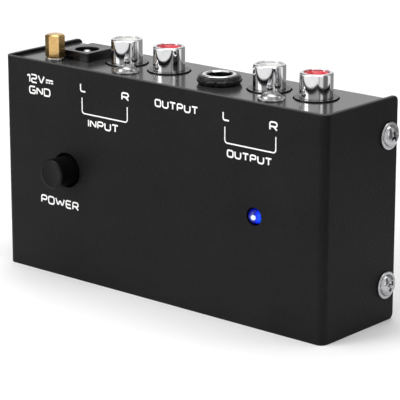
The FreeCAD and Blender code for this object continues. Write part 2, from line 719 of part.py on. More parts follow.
def phone_ring_top():
    return PANEL_TOP + PHONE_RING_PROUD


def phone_jack_ring():
    """Bright sleeve that lines the mouth of the phone socket."""
    low = phone_ring_top() - PHONE_RING_LENGTH
    tube = rod(PHONE_RING_RADIUS, PHONE_X, PHONE_DEPTH, low, phone_ring_top())
    rim = [e for e in tube.Edges if e.CenterOfMass.z > phone_ring_top() - 0.1 and len(e.Vertexes) == 1]
    tube = tube.makeFillet(PHONE_RING_EDGE, rim)
    tube = tube.cut(rod(PHONE_BORE_RADIUS, PHONE_X, PHONE_DEPTH, low - 1, phone_ring_top() + 1))
    return tube


def phone_jack_body():
    """Moulded body with a threaded neck through the panel."""
    half = PHONE_BODY_WIDTH / 2
    low = PANEL_UNDER - PHONE_BODY_HEIGHT
    body = block(PHONE_X - half, PHONE_X + half, PHONE_BODY_FRONT, BOARD_FRONT, low, PANEL_UNDER)
    body = body.makeFillet(BLOCK_EDGE_RADIUS, edges_along(body, 2))
    neck_top = phone_ring_top() - PHONE_NECK_BELOW_RING
    body = body.fuse(rod(PHONE_NECK_RADIUS, PHONE_X, PHONE_DEPTH, PANEL_UNDER, neck_top))
    ring_low = phone_ring_top() - PHONE_RING_LENGTH
    body = body.cut(rod(PHONE_RING_RADIUS + SOCKET_FIT, PHONE_X, PHONE_DEPTH, ring_low, neck_top + 1))
    body = body.cut(
        rod(PHONE_BORE_RADIUS, PHONE_X, PHONE_DEPTH, phone_ring_top() - PHONE_BORE_LENGTH, ring_low + 1))
    for side, drop in zip((-1, 1), PHONE_SPRING_DROPS):
        body = body.cut(phone_spring_slot(side, drop))
    return body.removeSplitter()


def phone_spring_slot(side, drop):
    """Slot from the bore to the side of the body, where a contact spring lies."""
    inner = PHONE_X
    outer = PHONE_X + side * (PHONE_BODY_WIDTH / 2 + 1)
    top = PANEL_UNDER - drop
    half = PHONE_SPRING_WIDTH / 2 + SOCKET_FIT
    return block(
        min(inner, outer), max(inner, outer), PHONE_DEPTH - half, PHONE_DEPTH + half,
        top - PHONE_SPRING_LENGTH, top)


def phone_jack_contact(side, drop):
    """Bent strip: a leg outside the bore and a tail that runs back to the board."""
    half = PHONE_SPRING_WIDTH / 2
    top = PANEL_UNDER - drop
    near = PHONE_X + side * (PHONE_BORE_RADIUS + PHONE_SPRING_THICKNESS)
    leg = block(
        min(near, near + side * PHONE_SPRING_THICKNESS), max(near, near + side * PHONE_SPRING_THICKNESS),
        PHONE_DEPTH - half, PHONE_DEPTH + half, top - PHONE_SPRING_LENGTH, top - PHONE_SPRING_THICKNESS)
    outer = PHONE_X + side * (PHONE_BODY_WIDTH / 2 + PHONE_SPRING_THICKNESS)
    foot = block(
        min(near, outer), max(near, outer), PHONE_DEPTH - half, PHONE_DEPTH + half,
        top - PHONE_SPRING_LENGTH, top - PHONE_SPRING_LENGTH + PHONE_SPRING_THICKNESS)
    side_x = PHONE_X + side * PHONE_BODY_WIDTH / 2
    tail = block(
        min(side_x, outer), max(side_x, outer), PHONE_DEPTH - half, BOARD_FRONT,
        top - PHONE_SPRING_LENGTH, top - PHONE_SPRING_LENGTH + TAIL_WIDTH)
    return leg.fuse([foot, tail]).removeSplitter()


def phone_jack_nut():
    """Notched plastic ring nut on the neck, widest at its waist."""
    inner = PHONE_NECK_RADIUS + SOCKET_FIT
    profile = [
        (inner, 0), (PHONE_NUT_FOOT_RADIUS, 0), (PHONE_NUT_RADIUS, PHONE_NUT_WAIST - 0.3),
        (PHONE_NUT_RADIUS, PHONE_NUT_WAIST), (PHONE_NUT_TOP_RADIUS, PHONE_NUT_WAIST + 0.15),
        (PHONE_NUT_TOP_RADIUS, PHONE_NUT_HEIGHT), (inner, PHONE_NUT_HEIGHT)]
    nut = revolved(profile, at(PHONE_X, PHONE_DEPTH, PANEL_TOP), UP)
    for index in range(PHONE_NUT_NOTCHES):
        angle = 2 * math.pi * index / PHONE_NUT_NOTCHES
        x = PHONE_X + PHONE_NUT_RADIUS * math.cos(angle)
        depth = PHONE_DEPTH + PHONE_NUT_RADIUS * math.sin(angle)
        nut = nut.cut(
            rod(PHONE_NUT_NOTCH_RADIUS, x, depth, PANEL_TOP - 1, PANEL_TOP + PHONE_NUT_WAIST + 0.1))
    return nut


def dc_top():
    return PANEL_TOP + DC_PROUD


def dc_jack_housing():
    body = block(
        DC_X - DC_WIDTH / 2, DC_X + DC_WIDTH / 2, DC_FRONT, BOARD_FRONT, dc_top() - DC_LENGTH,
        dc_top())
    body = body.makeFillet(DC_EDGE_RADIUS, edges_along(body, 2))
    low = dc_top() - DC_BORE_LENGTH
    body = body.cut(rod(DC_BORE_RADIUS, DC_X, DC_BORE_DEPTH, low, dc_top() + 1))
    body = body.cut(rod(DC_PIN_RADIUS + SOCKET_FIT, DC_X, DC_BORE_DEPTH, low - DC_PIN_ROOT, dc_top()))
    half = DC_SPRING_WIDTH / 2 + SOCKET_FIT
    slot = block(DC_X - half, DC_X + half, DC_BORE_DEPTH, BOARD_FRONT + 1, low, low + DC_BORE_LENGTH / 2)
    return body.cut(slot).removeSplitter()


def dc_jack_pin():
    pin = rod(
        DC_PIN_RADIUS, DC_X, DC_BORE_DEPTH, dc_top() - DC_BORE_LENGTH - DC_PIN_ROOT,
        dc_top() - DC_PIN_SUNK)
    tip = [e for e in pin.Edges if e.CenterOfMass.z > dc_top() - DC_PIN_SUNK - 0.1 and len(e.Vertexes) == 1]
    return pin.makeFillet(DC_PIN_RADIUS / 2, tip)


def dc_jack_spring():
    """Side contact in the wall behind the bore."""
    low = dc_top() - DC_BORE_LENGTH
    back = DC_BORE_DEPTH + DC_BORE_RADIUS + DC_SPRING_THICKNESS
    half = DC_SPRING_WIDTH / 2
    blade = block(
        DC_X - half, DC_X + half, back - DC_SPRING_THICKNESS, back, low,
        low + DC_BORE_LENGTH / 2 - SOCKET_FIT)
    foot = block(DC_X - half, DC_X + half, back, BOARD_FRONT, low, low + DC_SPRING_THICKNESS)
    return blade.fuse(foot).removeSplitter()


def ground_nut_bottom():
    return PANEL_TOP + GROUND_WASHER


def ground_nut():
    """Brass hexagon column, threaded from below and closed at its top."""
    low = ground_nut_bottom()
    high = low + GROUND_NUT_HEIGHT
    corner = GROUND_NUT_FLATS / math.sqrt(3)
    ring = []
    for index in range(6):
        angle = math.radians(GROUND_NUT_TURN + 30 + 60 * index)
        ring.append(at(GROUND_X + corner * math.cos(angle), GROUND_DEPTH + corner * math.sin(angle), low))
    column = Part.Face(Part.makePolygon(ring + ring[:1])).extrude(UP * GROUND_NUT_HEIGHT)
    cone_high = GROUND_NUT_CHAMFER
    rounded = revolved(
        [(0, 0), (corner - cone_high, 0), (corner, cone_high), (corner, GROUND_NUT_HEIGHT - cone_high),
         (corner - 2 * cone_high, GROUND_NUT_HEIGHT), (0, GROUND_NUT_HEIGHT)],
        at(GROUND_X, GROUND_DEPTH, low), UP)
    column = column.common(rounded)
    bore = rod(
        GROUND_STUD_RADIUS + GROUND_THREAD_GAP, GROUND_X, GROUND_DEPTH, low - 1,
        high - GROUND_NUT_ROOF)
    return column.cut(bore)


def ground_washer():
    """Split spring washer under the nut."""
    inner = GROUND_STUD_RADIUS + GROUND_THREAD_GAP
    ring = rod(GROUND_WASHER_RADIUS, GROUND_X, GROUND_DEPTH, PANEL_TOP, PANEL_TOP + GROUND_WASHER)
    ring = ring.cut(rod(inner, GROUND_X, GROUND_DEPTH, PANEL_TOP - 1, PANEL_TOP + GROUND_WASHER + 1))
    split = block(
        GROUND_X, GROUND_X + GROUND_WASHER_RADIUS + 1, GROUND_DEPTH - GROUND_WASHER_SPLIT / 2,
        GROUND_DEPTH + GROUND_WASHER_SPLIT / 2, PANEL_TOP - 1, PANEL_TOP + GROUND_WASHER + 1)
    return ring.cut(split)


def ground_stud():
    """Screw from inside the panel that the nut turns on."""
    tip = ground_nut_bottom() + GROUND_NUT_HEIGHT - GROUND_NUT_ROOF - GROUND_TIP_GAP
    head_top = PANEL_UNDER - LUG_THICKNESS
    shank = rod(GROUND_STUD_RADIUS, GROUND_X, GROUND_DEPTH, head_top, tip)
    head = rod(GROUND_HEAD_RADIUS, GROUND_X, GROUND_DEPTH, head_top - GROUND_HEAD, head_top)
    recess = cross_recess(at(GROUND_X, GROUND_DEPTH, head_top - GROUND_HEAD), -UP, RECESS_ARM, RECESS_DEPTH)
    return shank.fuse(head).cut(recess).removeSplitter()


def wire_x():
    return GROUND_X + LUG_TAIL_LENGTH - WIRE_RADIUS


def ground_lug():
    """Ring tag under the panel, with a tail for the wire."""
    low = PANEL_UNDER - LUG_THICKNESS
    ring = rod(LUG_RADIUS, GROUND_X, GROUND_DEPTH, low, PANEL_UNDER)
    tail = block(
        GROUND_X, GROUND_X + LUG_TAIL_LENGTH, GROUND_DEPTH - LUG_TAIL_WIDTH / 2,
        GROUND_DEPTH + LUG_TAIL_WIDTH / 2, low, PANEL_UNDER)
    hole = rod(GROUND_STUD_RADIUS + THREAD_GAP, GROUND_X, GROUND_DEPTH, low - 1, PANEL_UNDER + 1)
    return ring.fuse(tail).cut(hole).removeSplitter()


def ground_wire():
    """Wire from the tag down between the power socket and the switch and back to the board, in one round bend."""
    top = PANEL_UNDER - LUG_THICKNESS
    socket_low = dc_top() - DC_LENGTH
    switch_high = BUTTON_Z + SWITCH_SIDE / 2
    low = socket_low - WIRE_DROP_SHARE * (socket_low - switch_high)
    bend = WIRE_BEND_RADIUS
    x = wire_x()
    start = at(x, GROUND_DEPTH, top)
    bend_in = at(x, GROUND_DEPTH, low + bend)
    turn = math.sqrt(0.5) * bend
    middle = at(x, GROUND_DEPTH + bend - turn, low + bend - turn)
    bend_out = at(x, GROUND_DEPTH + bend, low)
    end = at(x, BOARD_FRONT, low)
    route = Part.Wire([
        Part.LineSegment(start, bend_in).toShape(),
        Part.Arc(bend_in, middle, bend_out).toShape(),
        Part.LineSegment(bend_out, end).toShape()])
    section = Part.Wire(Part.makeCircle(WIRE_RADIUS, start, UP))
    return route.makePipeShell([section], True, False)


def chip_pin_places(x, z):
    middle = (CHIP_PINS_PER_SIDE - 1) / 2
    return [
        (x + (index - middle) * CHIP_PIN_PITCH, z + side * CHIP_ROW_SPAN / 2)
        for index in range(CHIP_PINS_PER_SIDE) for side in (-1, 1)]


def op_amp(x, z):
    """Eight-pin chip: moulded body with a notch, and bent legs."""
    back = BOARD_FRONT - CHIP_STAND
    front = back - CHIP_HEIGHT
    body = block(
        x - CHIP_WIDTH / 2, x + CHIP_WIDTH / 2, front, back, z - CHIP_DEPTH / 2, z + CHIP_DEPTH / 2)
    body = body.cut(bar(PIN_SIDE * 1.6, x - CHIP_WIDTH / 2, z, front - 1, front + PIN_SIDE))
    middle = (front + back) / 2
    legs = []
    for px, pz in chip_pin_places(x, z):
        legs.append(square_bar(PIN_SIDE, px, pz, middle - PIN_SIDE / 2, BOARD_BACK + PIN_BELOW_BOARD))
        inner = z + math.copysign(CHIP_DEPTH / 2, pz - z)
        outer = pz + math.copysign(PIN_SIDE / 2, pz - z)
        legs.append(block(
            px - PIN_SIDE / 2, px + PIN_SIDE / 2, middle - PIN_SIDE / 2, middle + PIN_SIDE / 2,
            min(inner, outer), max(inner, outer)))
    return body.fuse(legs).removeSplitter()


def electrolytic_capacitors():
    cans = []
    for x, z in CAN_PLACES:
        can = bar(CAN_RADIUS, x, z, BOARD_FRONT - CAN_HEIGHT, BOARD_FRONT)
        rim = [e for e in can.Edges if e.CenterOfMass.y < FRONT_Y + BOARD_FRONT - CAN_HEIGHT + 0.1]
        cans.append(can.makeFillet(CAN_EDGE_RADIUS, rim))
    return cans


def film_capacitors():
    films = []
    for x, z in FILM_PLACES:
        film = block(
            x - FILM_WIDTH / 2, x + FILM_WIDTH / 2, BOARD_FRONT - FILM_HEIGHT, BOARD_FRONT,
            z - FILM_THICKNESS / 2, z + FILM_THICKNESS / 2)
        films.append(film.makeFillet(FILM_EDGE_RADIUS, edges_along(film, 1)))
    return films


def axial_part(x, z, length, radius, lead_radius, span):
    """Round body lying on the board along X, with a bent lead at each end."""
    depth = BOARD_FRONT - RESISTOR_STAND - radius
    body = Part.makeCylinder(radius, length, at(x - length / 2, depth, z), FreeCAD.Vector(1, 0, 0))
    lead = Part.makeCylinder(lead_radius, span, at(x - span / 2, depth, z), FreeCAD.Vector(1, 0, 0))
    pieces = [lead]
    for side in (-1, 1):
        end = x + side * span / 2
        pieces.append(bar(lead_radius, end, z, depth, BOARD_FRONT))
        pieces.append(Part.makeSphere(lead_radius, at(end, depth, z)))
    return body.fuse(pieces).removeSplitter()


def resistors():
    return [
        axial_part(x, z, RESISTOR_LENGTH, RESISTOR_RADIUS, RESISTOR_LEAD_RADIUS, RESISTOR_SPAN)
        for x, z in RESISTOR_ROWS]


def reverse_diode():
    return axial_part(DIODE_X, DIODE_Z, DIODE_LENGTH, DIODE_RADIUS, RESISTOR_LEAD_RADIUS, RESISTOR_SPAN)


def voltage_regulator():
    """Three-legged regulator standing on the board, with its metal tab."""
    back = BOARD_FRONT - REGULATOR_STAND
    front = back - REGULATOR_HEIGHT
    half = REGULATOR_WIDTH / 2
    body = block(
        REGULATOR_X - half, REGULATOR_X + half, front, back, REGULATOR_Z,
        REGULATOR_Z + REGULATOR_THICKNESS)
    tab = block(
        REGULATOR_X - half, REGULATOR_X + half, front - REGULATOR_TAB, front,
        REGULATOR_Z, REGULATOR_Z + REGULATOR_TAB_THICKNESS)
    hole = Part.makeCylinder(
        REGULATOR_HOLE_RADIUS, REGULATOR_THICKNESS, at(
            REGULATOR_X, front - REGULATOR_TAB / 2, REGULATOR_Z - 1), UP)
    legs = [
        square_bar(
            PIN_SIDE, REGULATOR_X + step * REGULATOR_PITCH, REGULATOR_Z + REGULATOR_THICKNESS / 2,
            back, BOARD_FRONT)
        for step in (-1, 0, 1)]
    return body.fuse([tab.cut(hole)] + legs).removeSplitter()


os.makedirs("parts", exist_ok=True)
save("cover", cover())
save("chassis", chassis())
save("cover_screws", *cover_screws())
save("rubber_feet", *rubber_feet())
save("circuit_board", circuit_board())
save("board_standoffs", *board_standoffs())
save("board_screws", *board_screws())
save("power_button_cap", power_button_cap())
save("power_switch_plunger", power_switch_plunger())
save("power_switch_housing", power_switch_housing())
save("power_switch_spring", power_switch_spring())
save("power_switch_pins", *power_switch_pins())
save("led_lens", led_lens())
save("led_leads", *led_leads())
save("led_spacer", led_spacer())
for name, x in zip(("input_left", "input_right", "output_left", "output_right"), socket_places()):
    save(name + "_shell", phono_shell(x))
    save(name + "_insulator", phono_insulator(x))
    save(name + "_contact", phono_contact(x))
save("input_jack_block", jack_block(INPUT_X))
save("output_jack_block", jack_block(OUTPUT_X))
save("jack_block_screws", *jack_block_screws())
save("phone_jack_body", phone_jack_body())
save("phone_jack_ring", phone_jack_ring())
save("phone_jack_nut", phone_jack_nut())
for name, side, drop in zip(
    ("phone_jack_sleeve_contact", "phone_jack_tip_contact"), (-1, 1), PHONE_SPRING_DROPS):
    save(name, phone_jack_contact(side, drop))
save("dc_jack_housing", dc_jack_housing())
save("dc_jack_pin", dc_jack_pin())
save("dc_jack_spring", dc_jack_spring())
save("ground_nut", ground_nut())
save("ground_washer", ground_washer())
save("ground_stud", ground_stud())
save("ground_lug", ground_lug())
save("ground_wire", ground_wire())
save("op_amp_left", op_amp(*CHIP_LEFT))
save("op_amp_right", op_amp(*CHIP_RIGHT))
save("electrolytic_capacitors", *electrolytic_capacitors())
save("film_capacitors", *film_capacitors())
save("resistors", *resistors())
save("reverse_diode", reverse_diode())
save("voltage_regulator", voltage_regulator())
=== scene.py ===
import bpy
import json
import math
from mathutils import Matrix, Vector

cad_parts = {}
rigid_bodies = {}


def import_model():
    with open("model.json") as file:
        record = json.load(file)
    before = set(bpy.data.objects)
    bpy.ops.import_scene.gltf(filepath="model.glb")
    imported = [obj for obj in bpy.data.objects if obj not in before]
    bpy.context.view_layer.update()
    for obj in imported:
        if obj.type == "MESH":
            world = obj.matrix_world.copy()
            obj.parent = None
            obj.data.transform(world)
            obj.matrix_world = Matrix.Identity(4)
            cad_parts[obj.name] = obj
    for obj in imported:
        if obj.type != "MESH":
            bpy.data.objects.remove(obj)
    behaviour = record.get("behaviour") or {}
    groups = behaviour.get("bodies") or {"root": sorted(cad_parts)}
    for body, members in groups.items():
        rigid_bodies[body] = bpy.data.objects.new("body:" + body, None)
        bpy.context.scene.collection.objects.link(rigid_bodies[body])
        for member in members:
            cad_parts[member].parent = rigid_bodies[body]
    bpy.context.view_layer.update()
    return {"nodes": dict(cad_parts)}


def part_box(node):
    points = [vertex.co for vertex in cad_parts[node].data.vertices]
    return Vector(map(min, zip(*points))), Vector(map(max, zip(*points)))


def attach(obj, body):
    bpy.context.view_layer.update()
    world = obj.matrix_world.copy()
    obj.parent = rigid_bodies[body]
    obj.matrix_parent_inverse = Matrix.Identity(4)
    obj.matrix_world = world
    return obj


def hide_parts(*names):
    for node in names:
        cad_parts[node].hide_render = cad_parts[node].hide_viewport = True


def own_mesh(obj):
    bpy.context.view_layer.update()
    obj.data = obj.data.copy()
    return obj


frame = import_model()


# Powder-coated cover: the label face and its two end plates.
# One sheet of 1 mm steel, folded back at both ends, with a pierced hole for the button and one for the lamp.
MM = 0.001
FACE_Y = -12.1 * MM
BACKWARDS = Vector((0, 1, 0))
SIDEWAYS = Vector((1, 0, 0))
UP = Vector((0, 0, 1))


def place(x, depth, z):
    """A point in metres from millimetres, with depth counted back from the label face."""
    return Vector((x * MM, FACE_Y + depth * MM, z * MM))


def clear_selection():
    for thing in bpy.context.view_layer.objects.selected[:]:
        thing.select_set(False)


def work_on(piece):
    clear_selection()
    piece.select_set(True)
    bpy.context.view_layer.objects.active = piece


def choose(piece, kind, test):
    """In edit mode, selects only the faces, edges or vertices whose middle passes the test."""
    bpy.ops.mesh.select_mode(type=kind)
    bpy.ops.mesh.select_all(action="DESELECT")
    bpy.ops.object.mode_set(mode="OBJECT")
    mesh = piece.data
    if kind == "FACE":
        for face in mesh.polygons:
            face.select = test(face.center)
    elif kind == "EDGE":
        for edge in mesh.edges:
            a, b = (mesh.vertices[i].co for i in edge.vertices)
            edge.select = test((a + b) / 2, b - a)
    else:
        for vertex in mesh.vertices:
            vertex.select = test(vertex.co)
    bpy.ops.object.mode_set(mode="EDIT")


def box_of_sheet(name, x0, x1, d0, d1, z0, z1):
    """A box primitive between two corners, at its place, in edit mode."""
    clear_selection()
    low, high = place(x0, d0, z0), place(x1, d1, z1)
    bpy.ops.mesh.primitive_cube_add(size=1, location=(low + high) / 2, scale=high - low)
    piece = bpy.context.object
    piece.name = name
    bpy.ops.object.transform_apply(location=True, rotation=True, scale=True)
    bpy.ops.object.mode_set(mode="EDIT")
    return piece


def drill(piece, *holes):
    """Cuts round holes, each given as a middle, a direction, a radius and a half length in millimetres."""
    for middle, direction, radius, reach in holes:
        clear_selection()
        bpy.ops.mesh.primitive_cylinder_add(vertices=96, radius=radius * MM, depth=2 * reach * MM)
        cutter = bpy.context.object
        cutter.rotation_mode = "QUATERNION"
        cutter.rotation_quaternion = direction.to_track_quat("Z", "Y")
        cutter.location = middle
        cut_away(piece, cutter)


def cut_away(piece, cutter):
    bpy.context.view_layer.update()
    work_on(piece)
    modifier = piece.modifiers.new("cut", "BOOLEAN")
    modifier.operation = "DIFFERENCE"
    modifier.solver = "EXACT"
    modifier.object = cutter
    bpy.ops.object.modifier_apply(modifier="cut")
    bpy.data.objects.remove(cutter)


def thicken(piece, thickness):
    work_on(piece)
    wall = piece.modifiers.new("wall", "SOLIDIFY")
    wall.thickness = thickness * MM
    wall.offset = -1
    wall.use_even_offset = True
    bpy.ops.object.modifier_apply(modifier="wall")


def ease_edges(piece, radius, segments=2, angle=35):
    """Rounds every sharp edge by a small radius."""
    work_on(piece)
    ease = piece.modifiers.new("ease", "BEVEL")
    ease.width = radius * MM
    ease.segments = segments
    ease.limit_method = "ANGLE"
    ease.angle_limit = math.radians(angle)
    ease.use_clamp_overlap = True
    bpy.ops.object.modifier_apply(modifier="ease")


def settle(piece, name, material, body, record_slot, *nodes, smooth=40):
    """Names a finished piece, fixes its place in its mesh, and puts it on its body in place of its nodes."""
    if bpy.context.mode != "OBJECT":
        bpy.ops.object.mode_set(mode="OBJECT")
    work_on(piece)
    bpy.ops.object.transform_apply(location=True, rotation=True, scale=True)
    bpy.ops.object.shade_smooth_by_angle(angle=math.radians(smooth))
    even = piece.modifiers.new("even", "WEIGHTED_NORMAL")
    even.keep_sharp = True
    bpy.ops.object.modifier_apply(modifier="even")
    piece.name = name
    piece.data.name = name
    piece.data.materials.clear()
    piece.data.materials.append(material)
    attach(piece, body)
    if nodes:
        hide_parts(*nodes)
    return piece


def speckle_group():
    """Fine grain and broad patches over a surface, as masks from 0 to 1."""
    group = bpy.data.node_groups.new("fine grain and patches", "ShaderNodeTree")
    for label, kind in (
            ("Grain Scale", "NodeSocketFloat"), ("Patch Scale", "NodeSocketFloat"),
            ("Stretch", "NodeSocketVector")):
        group.interface.new_socket(name=label, in_out="INPUT", socket_type=kind)
    for label in ("Grain", "Patches"):
        group.interface.new_socket(name=label, in_out="OUTPUT", socket_type="NodeSocketFloat")
    nodes, links = group.nodes, group.links
    entry = nodes.new("NodeGroupInput")
    leave = nodes.new("NodeGroupOutput")
    where = nodes.new("ShaderNodeTexCoord")
    stretch = nodes.new("ShaderNodeVectorMath")
    stretch.operation = "MULTIPLY"
    links.new(where.outputs["Object"], stretch.inputs[0])
    links.new(entry.outputs["Stretch"], stretch.inputs[1])
    for label, scale, detail in (("Grain", "Grain Scale", 3.0), ("Patches", "Patch Scale", 4.0)):
        noise = nodes.new("ShaderNodeTexNoise")
        noise.inputs["Detail"].default_value = detail
        noise.inputs["Roughness"].default_value = 0.6
        links.new(stretch.outputs[0], noise.inputs["Vector"])
        links.new(entry.outputs[scale], noise.inputs["Scale"])
        spread = nodes.new("ShaderNodeMapRange")
        spread.inputs["From Min"].default_value = 0.3
        spread.inputs["From Max"].default_value = 0.7
        links.new(noise.outputs["Fac"], spread.inputs["Value"])
        links.new(spread.outputs["Result"], leave.inputs[label])
    return group


SPECKLE = speckle_group()


def finish(name, dark, light, rough, grain, patch, bump, height=0.02, stretch=(1, 1, 1), **fixed):
    """A surface whose colour runs from dark to light and whose roughness varies, with a fine raised grain."""
    material = bpy.data.materials.new(name)
    material.use_nodes = True
    nodes, links = material.node_tree.nodes, material.node_tree.links
    shader = nodes["Principled BSDF"]
    for socket, value in fixed.items():
        shader.inputs[socket.replace("_", " ")].default_value = value
    speckle = nodes.new("ShaderNodeGroup")
    speckle.node_tree = SPECKLE
    speckle.inputs["Grain Scale"].default_value = grain
    speckle.inputs["Patch Scale"].default_value = patch
    speckle.inputs["Stretch"].default_value = stretch
    colour = nodes.new("ShaderNodeMix")
    colour.data_type = "RGBA"
    colour.inputs["A"].default_value = (*dark, 1)
    colour.inputs["B"].default_value = (*light, 1)
    blend = nodes.new("ShaderNodeMath")
    blend.operation = "MULTIPLY_ADD"
    blend.inputs[1].default_value = 0.5
    half = nodes.new("ShaderNodeMath")
    half.operation = "MULTIPLY"
    half.inputs[1].default_value = 0.5
    links.new(speckle.outputs["Grain"], half.inputs[0])
    links.new(speckle.outputs["Patches"], blend.inputs[0])
    links.new(half.outputs[0], blend.inputs[2])
    links.new(blend.outputs[0], colour.inputs["Factor"])
    links.new(colour.outputs["Result"], shader.inputs["Base Color"])
    gloss = nodes.new("ShaderNodeMapRange")
    gloss.inputs["To Min"].default_value = rough[0]
    gloss.inputs["To Max"].default_value = rough[1]
    links.new(speckle.outputs["Patches"], gloss.inputs["Value"])
    links.new(gloss.outputs["Result"], shader.inputs["Roughness"])
    raised = nodes.new("ShaderNodeBump")
    raised.inputs["Strength"].default_value = bump
    raised.inputs["Distance"].default_value = height * MM
    links.new(speckle.outputs["Grain"], raised.inputs["Height"])
    links.new(raised.outputs["Normal"], shader.inputs["Normal"])
    return material


def paint_top_edge_highlight(material):
    """Paints a paler line along the cut top edge of the sheet, a painted highlight standing in for the light
    that the eased edge catches from above.
    """
    nodes, links = material.node_tree.nodes, material.node_tree.links
    where = nodes.new("ShaderNodeTexCoord")
    split = nodes.new("ShaderNodeSeparateXYZ")
    edge = nodes.new("ShaderNodeMapRange")
    edge.inputs["From Min"].default_value = (CASE_TOP - 0.32) * MM
    edge.inputs["From Max"].default_value = (CASE_TOP - 0.05) * MM
    # Painted highlight: near the top edge the coat's colour is mixed towards a paler grey.
    edge_highlight = nodes.new("ShaderNodeMix")
    edge_highlight.data_type = "RGBA"
    edge_highlight.inputs["B"].default_value = (0.055, 0.055, 0.055, 1)
    shader = nodes["Principled BSDF"]
    links.new(where.outputs["Object"], split.inputs[0])
    links.new(split.outputs["Z"], edge.inputs["Value"])
    links.new(edge.outputs["Result"], edge_highlight.inputs["Factor"])
    links.new(shader.inputs["Base Color"].links[0].from_socket, edge_highlight.inputs["A"])
    links.new(edge_highlight.outputs["Result"], shader.inputs["Base Color"])


SHEET = 1.0
CASE_HALF = 53.25
CASE_TOP = 57.0
PLATE_DEPTH = 28.7
COVER_BEND = 2.0
CORNER = 1.5
BUTTON = (-31.3, 29.2)
LAMP = (31.7, 28.5)
BUTTON_HOLE = 4.6
LAMP_HOLE = 2.25
SCREW_DEPTH = 25.2
SCREW_Z = (9.5, 47.5)
SCREW_HOLE = 1.7
NEAR = 0.1

powder_coat = finish(
    "powder coat", (0.0035, 0.0035, 0.0038), (0.0115, 0.0115, 0.0118), (0.42, 0.5), grain=1500, patch=45,
    bump=0.8, height=0.06, Specular_IOR_Level=0.09)
# Painted highlight along the top edge of the cover, standing in for the light the edge catches from above.
paint_top_edge_highlight(powder_coat)

cover = box_of_sheet("cover", -CASE_HALF, CASE_HALF, 0, PLATE_DEPTH, 0, CASE_TOP)
plate_end = FACE_Y + (PLATE_DEPTH - NEAR) * MM
choose(cover, "FACE", lambda c: c.z < NEAR * MM or c.z > (CASE_TOP - NEAR) * MM or c.y > plate_end)
bpy.ops.mesh.delete(type="FACE")
choose(cover, "EDGE", lambda c, run: abs(run.z) > MM and c.y < FACE_Y + NEAR * MM)
bpy.ops.mesh.bevel(offset=COVER_BEND * MM, segments=10, affect="EDGES")
choose(cover, "VERT", lambda c: c.y > plate_end)
bpy.ops.mesh.bevel(offset=CORNER * MM, segments=8, affect="VERTICES")
bpy.ops.object.mode_set(mode="OBJECT")
thicken(cover, SHEET)
screw_places = [(side, z) for side in (-1, 1) for z in SCREW_Z]
drill(
    cover, (place(BUTTON[0], SHEET / 2, BUTTON[1]), BACKWARDS, BUTTON_HOLE, 2),
    (place(LAMP[0], SHEET / 2, LAMP[1]), BACKWARDS, LAMP_HOLE, 2),
    *((place(side * CASE_HALF, SCREW_DEPTH, z), SIDEWAYS, SCREW_HOLE, 3) for side, z in screw_places))
ease_edges(cover, 0.2)
settle(cover, "folded_cover", powder_coat, "root", "black_paint", "cover")


# Painted chassis: socket panel, back plate and lower panel, with a screw tab at each end.
# Folded from 1 mm steel and painted semi-gloss, it sits behind the cover, held by the four end screws.
panel_paint = finish(
    "semi-gloss panel paint", (0.020, 0.020, 0.021), (0.032, 0.032, 0.033), (0.15, 0.22), grain=900, patch=30,
    bump=0.1, height=0.015, Specular_IOR_Level=0.75)

CHASSIS_HALF = 52.1
CHASSIS_FRONT = 1.15
CHASSIS_BEND = 1.5
BACK = 28.0
PANEL_TOP = 56.2
PANEL_LOW = 0.8
PANEL_HEIGHT = PANEL_TOP - PANEL_LOW
TAB_INSET = 5.0
TAB_LENGTH = 6.0
SOCKETS = {"input_left": -24.0, "input_right": -9.4, "output_left": 23.55, "output_right": 38.15}
SOCKET_DEPTH = 15.8
BLOCK_SCREWS = (-16.7, 30.85)
BLOCK_SCREW_DEPTH = 7.5
PHONE = (9.8, 13.0)
POST = (-40.8, 6.3)
POWER_X = -36.5
POWER_FRONT = 9.4
POWER_BACK = 20.8
POWER_HALF = 4.5
POWER_GAP = 0.2
STANDOFF_X = (-44.0, 44.0)
STANDOFF_Z = (15.5, 38.0)
SOCKET_HOLE = 5.75
BLOCK_SCREW_HOLE = 1.5
PHONE_HOLE = 5.05
POST_HOLE = 1.6
TAB_HOLE = 1.53
STANDOFF_HOLE = 2.13

chassis = box_of_sheet("chassis", -CHASSIS_HALF, CHASSIS_HALF, CHASSIS_FRONT, BACK, PANEL_LOW, PANEL_TOP)
chassis_end = (CHASSIS_HALF - NEAR) * MM
front_edge = FACE_Y + (CHASSIS_FRONT + NEAR) * MM
tab_edge = FACE_Y + (BACK - TAB_LENGTH + NEAR) * MM
tab_share = (PANEL_HEIGHT - 2 * TAB_INSET) / (PANEL_HEIGHT - 2 * CHASSIS_BEND)
choose(chassis, "FACE", lambda c: c.y < front_edge or abs(c.x) > chassis_end)
bpy.ops.mesh.delete(type="FACE")
choose(chassis, "EDGE", lambda c, run: abs(run.x) > MM and c.y > FACE_Y + (BACK - NEAR) * MM)
bpy.ops.mesh.bevel(offset=CHASSIS_BEND * MM, segments=8, affect="EDGES")
for side in (-1, 1):
    choose(chassis, "EDGE", lambda c, run: abs(run.z) > 40 * MM and c.x * side > chassis_end)
    bpy.ops.mesh.extrude_edges_move(TRANSFORM_OT_translate={"value": (0, 0, 0)})
    bpy.ops.transform.resize(
        value=(1, 1, tab_share), center_override=place(side * CHASSIS_HALF, BACK, CASE_TOP / 2))
    bpy.ops.mesh.extrude_edges_move(TRANSFORM_OT_translate={"value": (0, -TAB_LENGTH * MM, 0)})
choose(chassis, "VERT", lambda c: abs(c.x) > chassis_end and c.y < tab_edge and 3 * MM < c.z < 54 * MM)
bpy.ops.mesh.bevel(offset=CORNER * MM, segments=6, affect="VERTICES")
choose(chassis, "VERT", lambda c: abs(c.x) > chassis_end and c.y < front_edge)
bpy.ops.mesh.bevel(offset=1.0 * MM, segments=5, affect="VERTICES")
bpy.ops.object.mode_set(mode="OBJECT")
thicken(chassis, SHEET)
panel_middle = PANEL_TOP - SHEET / 2
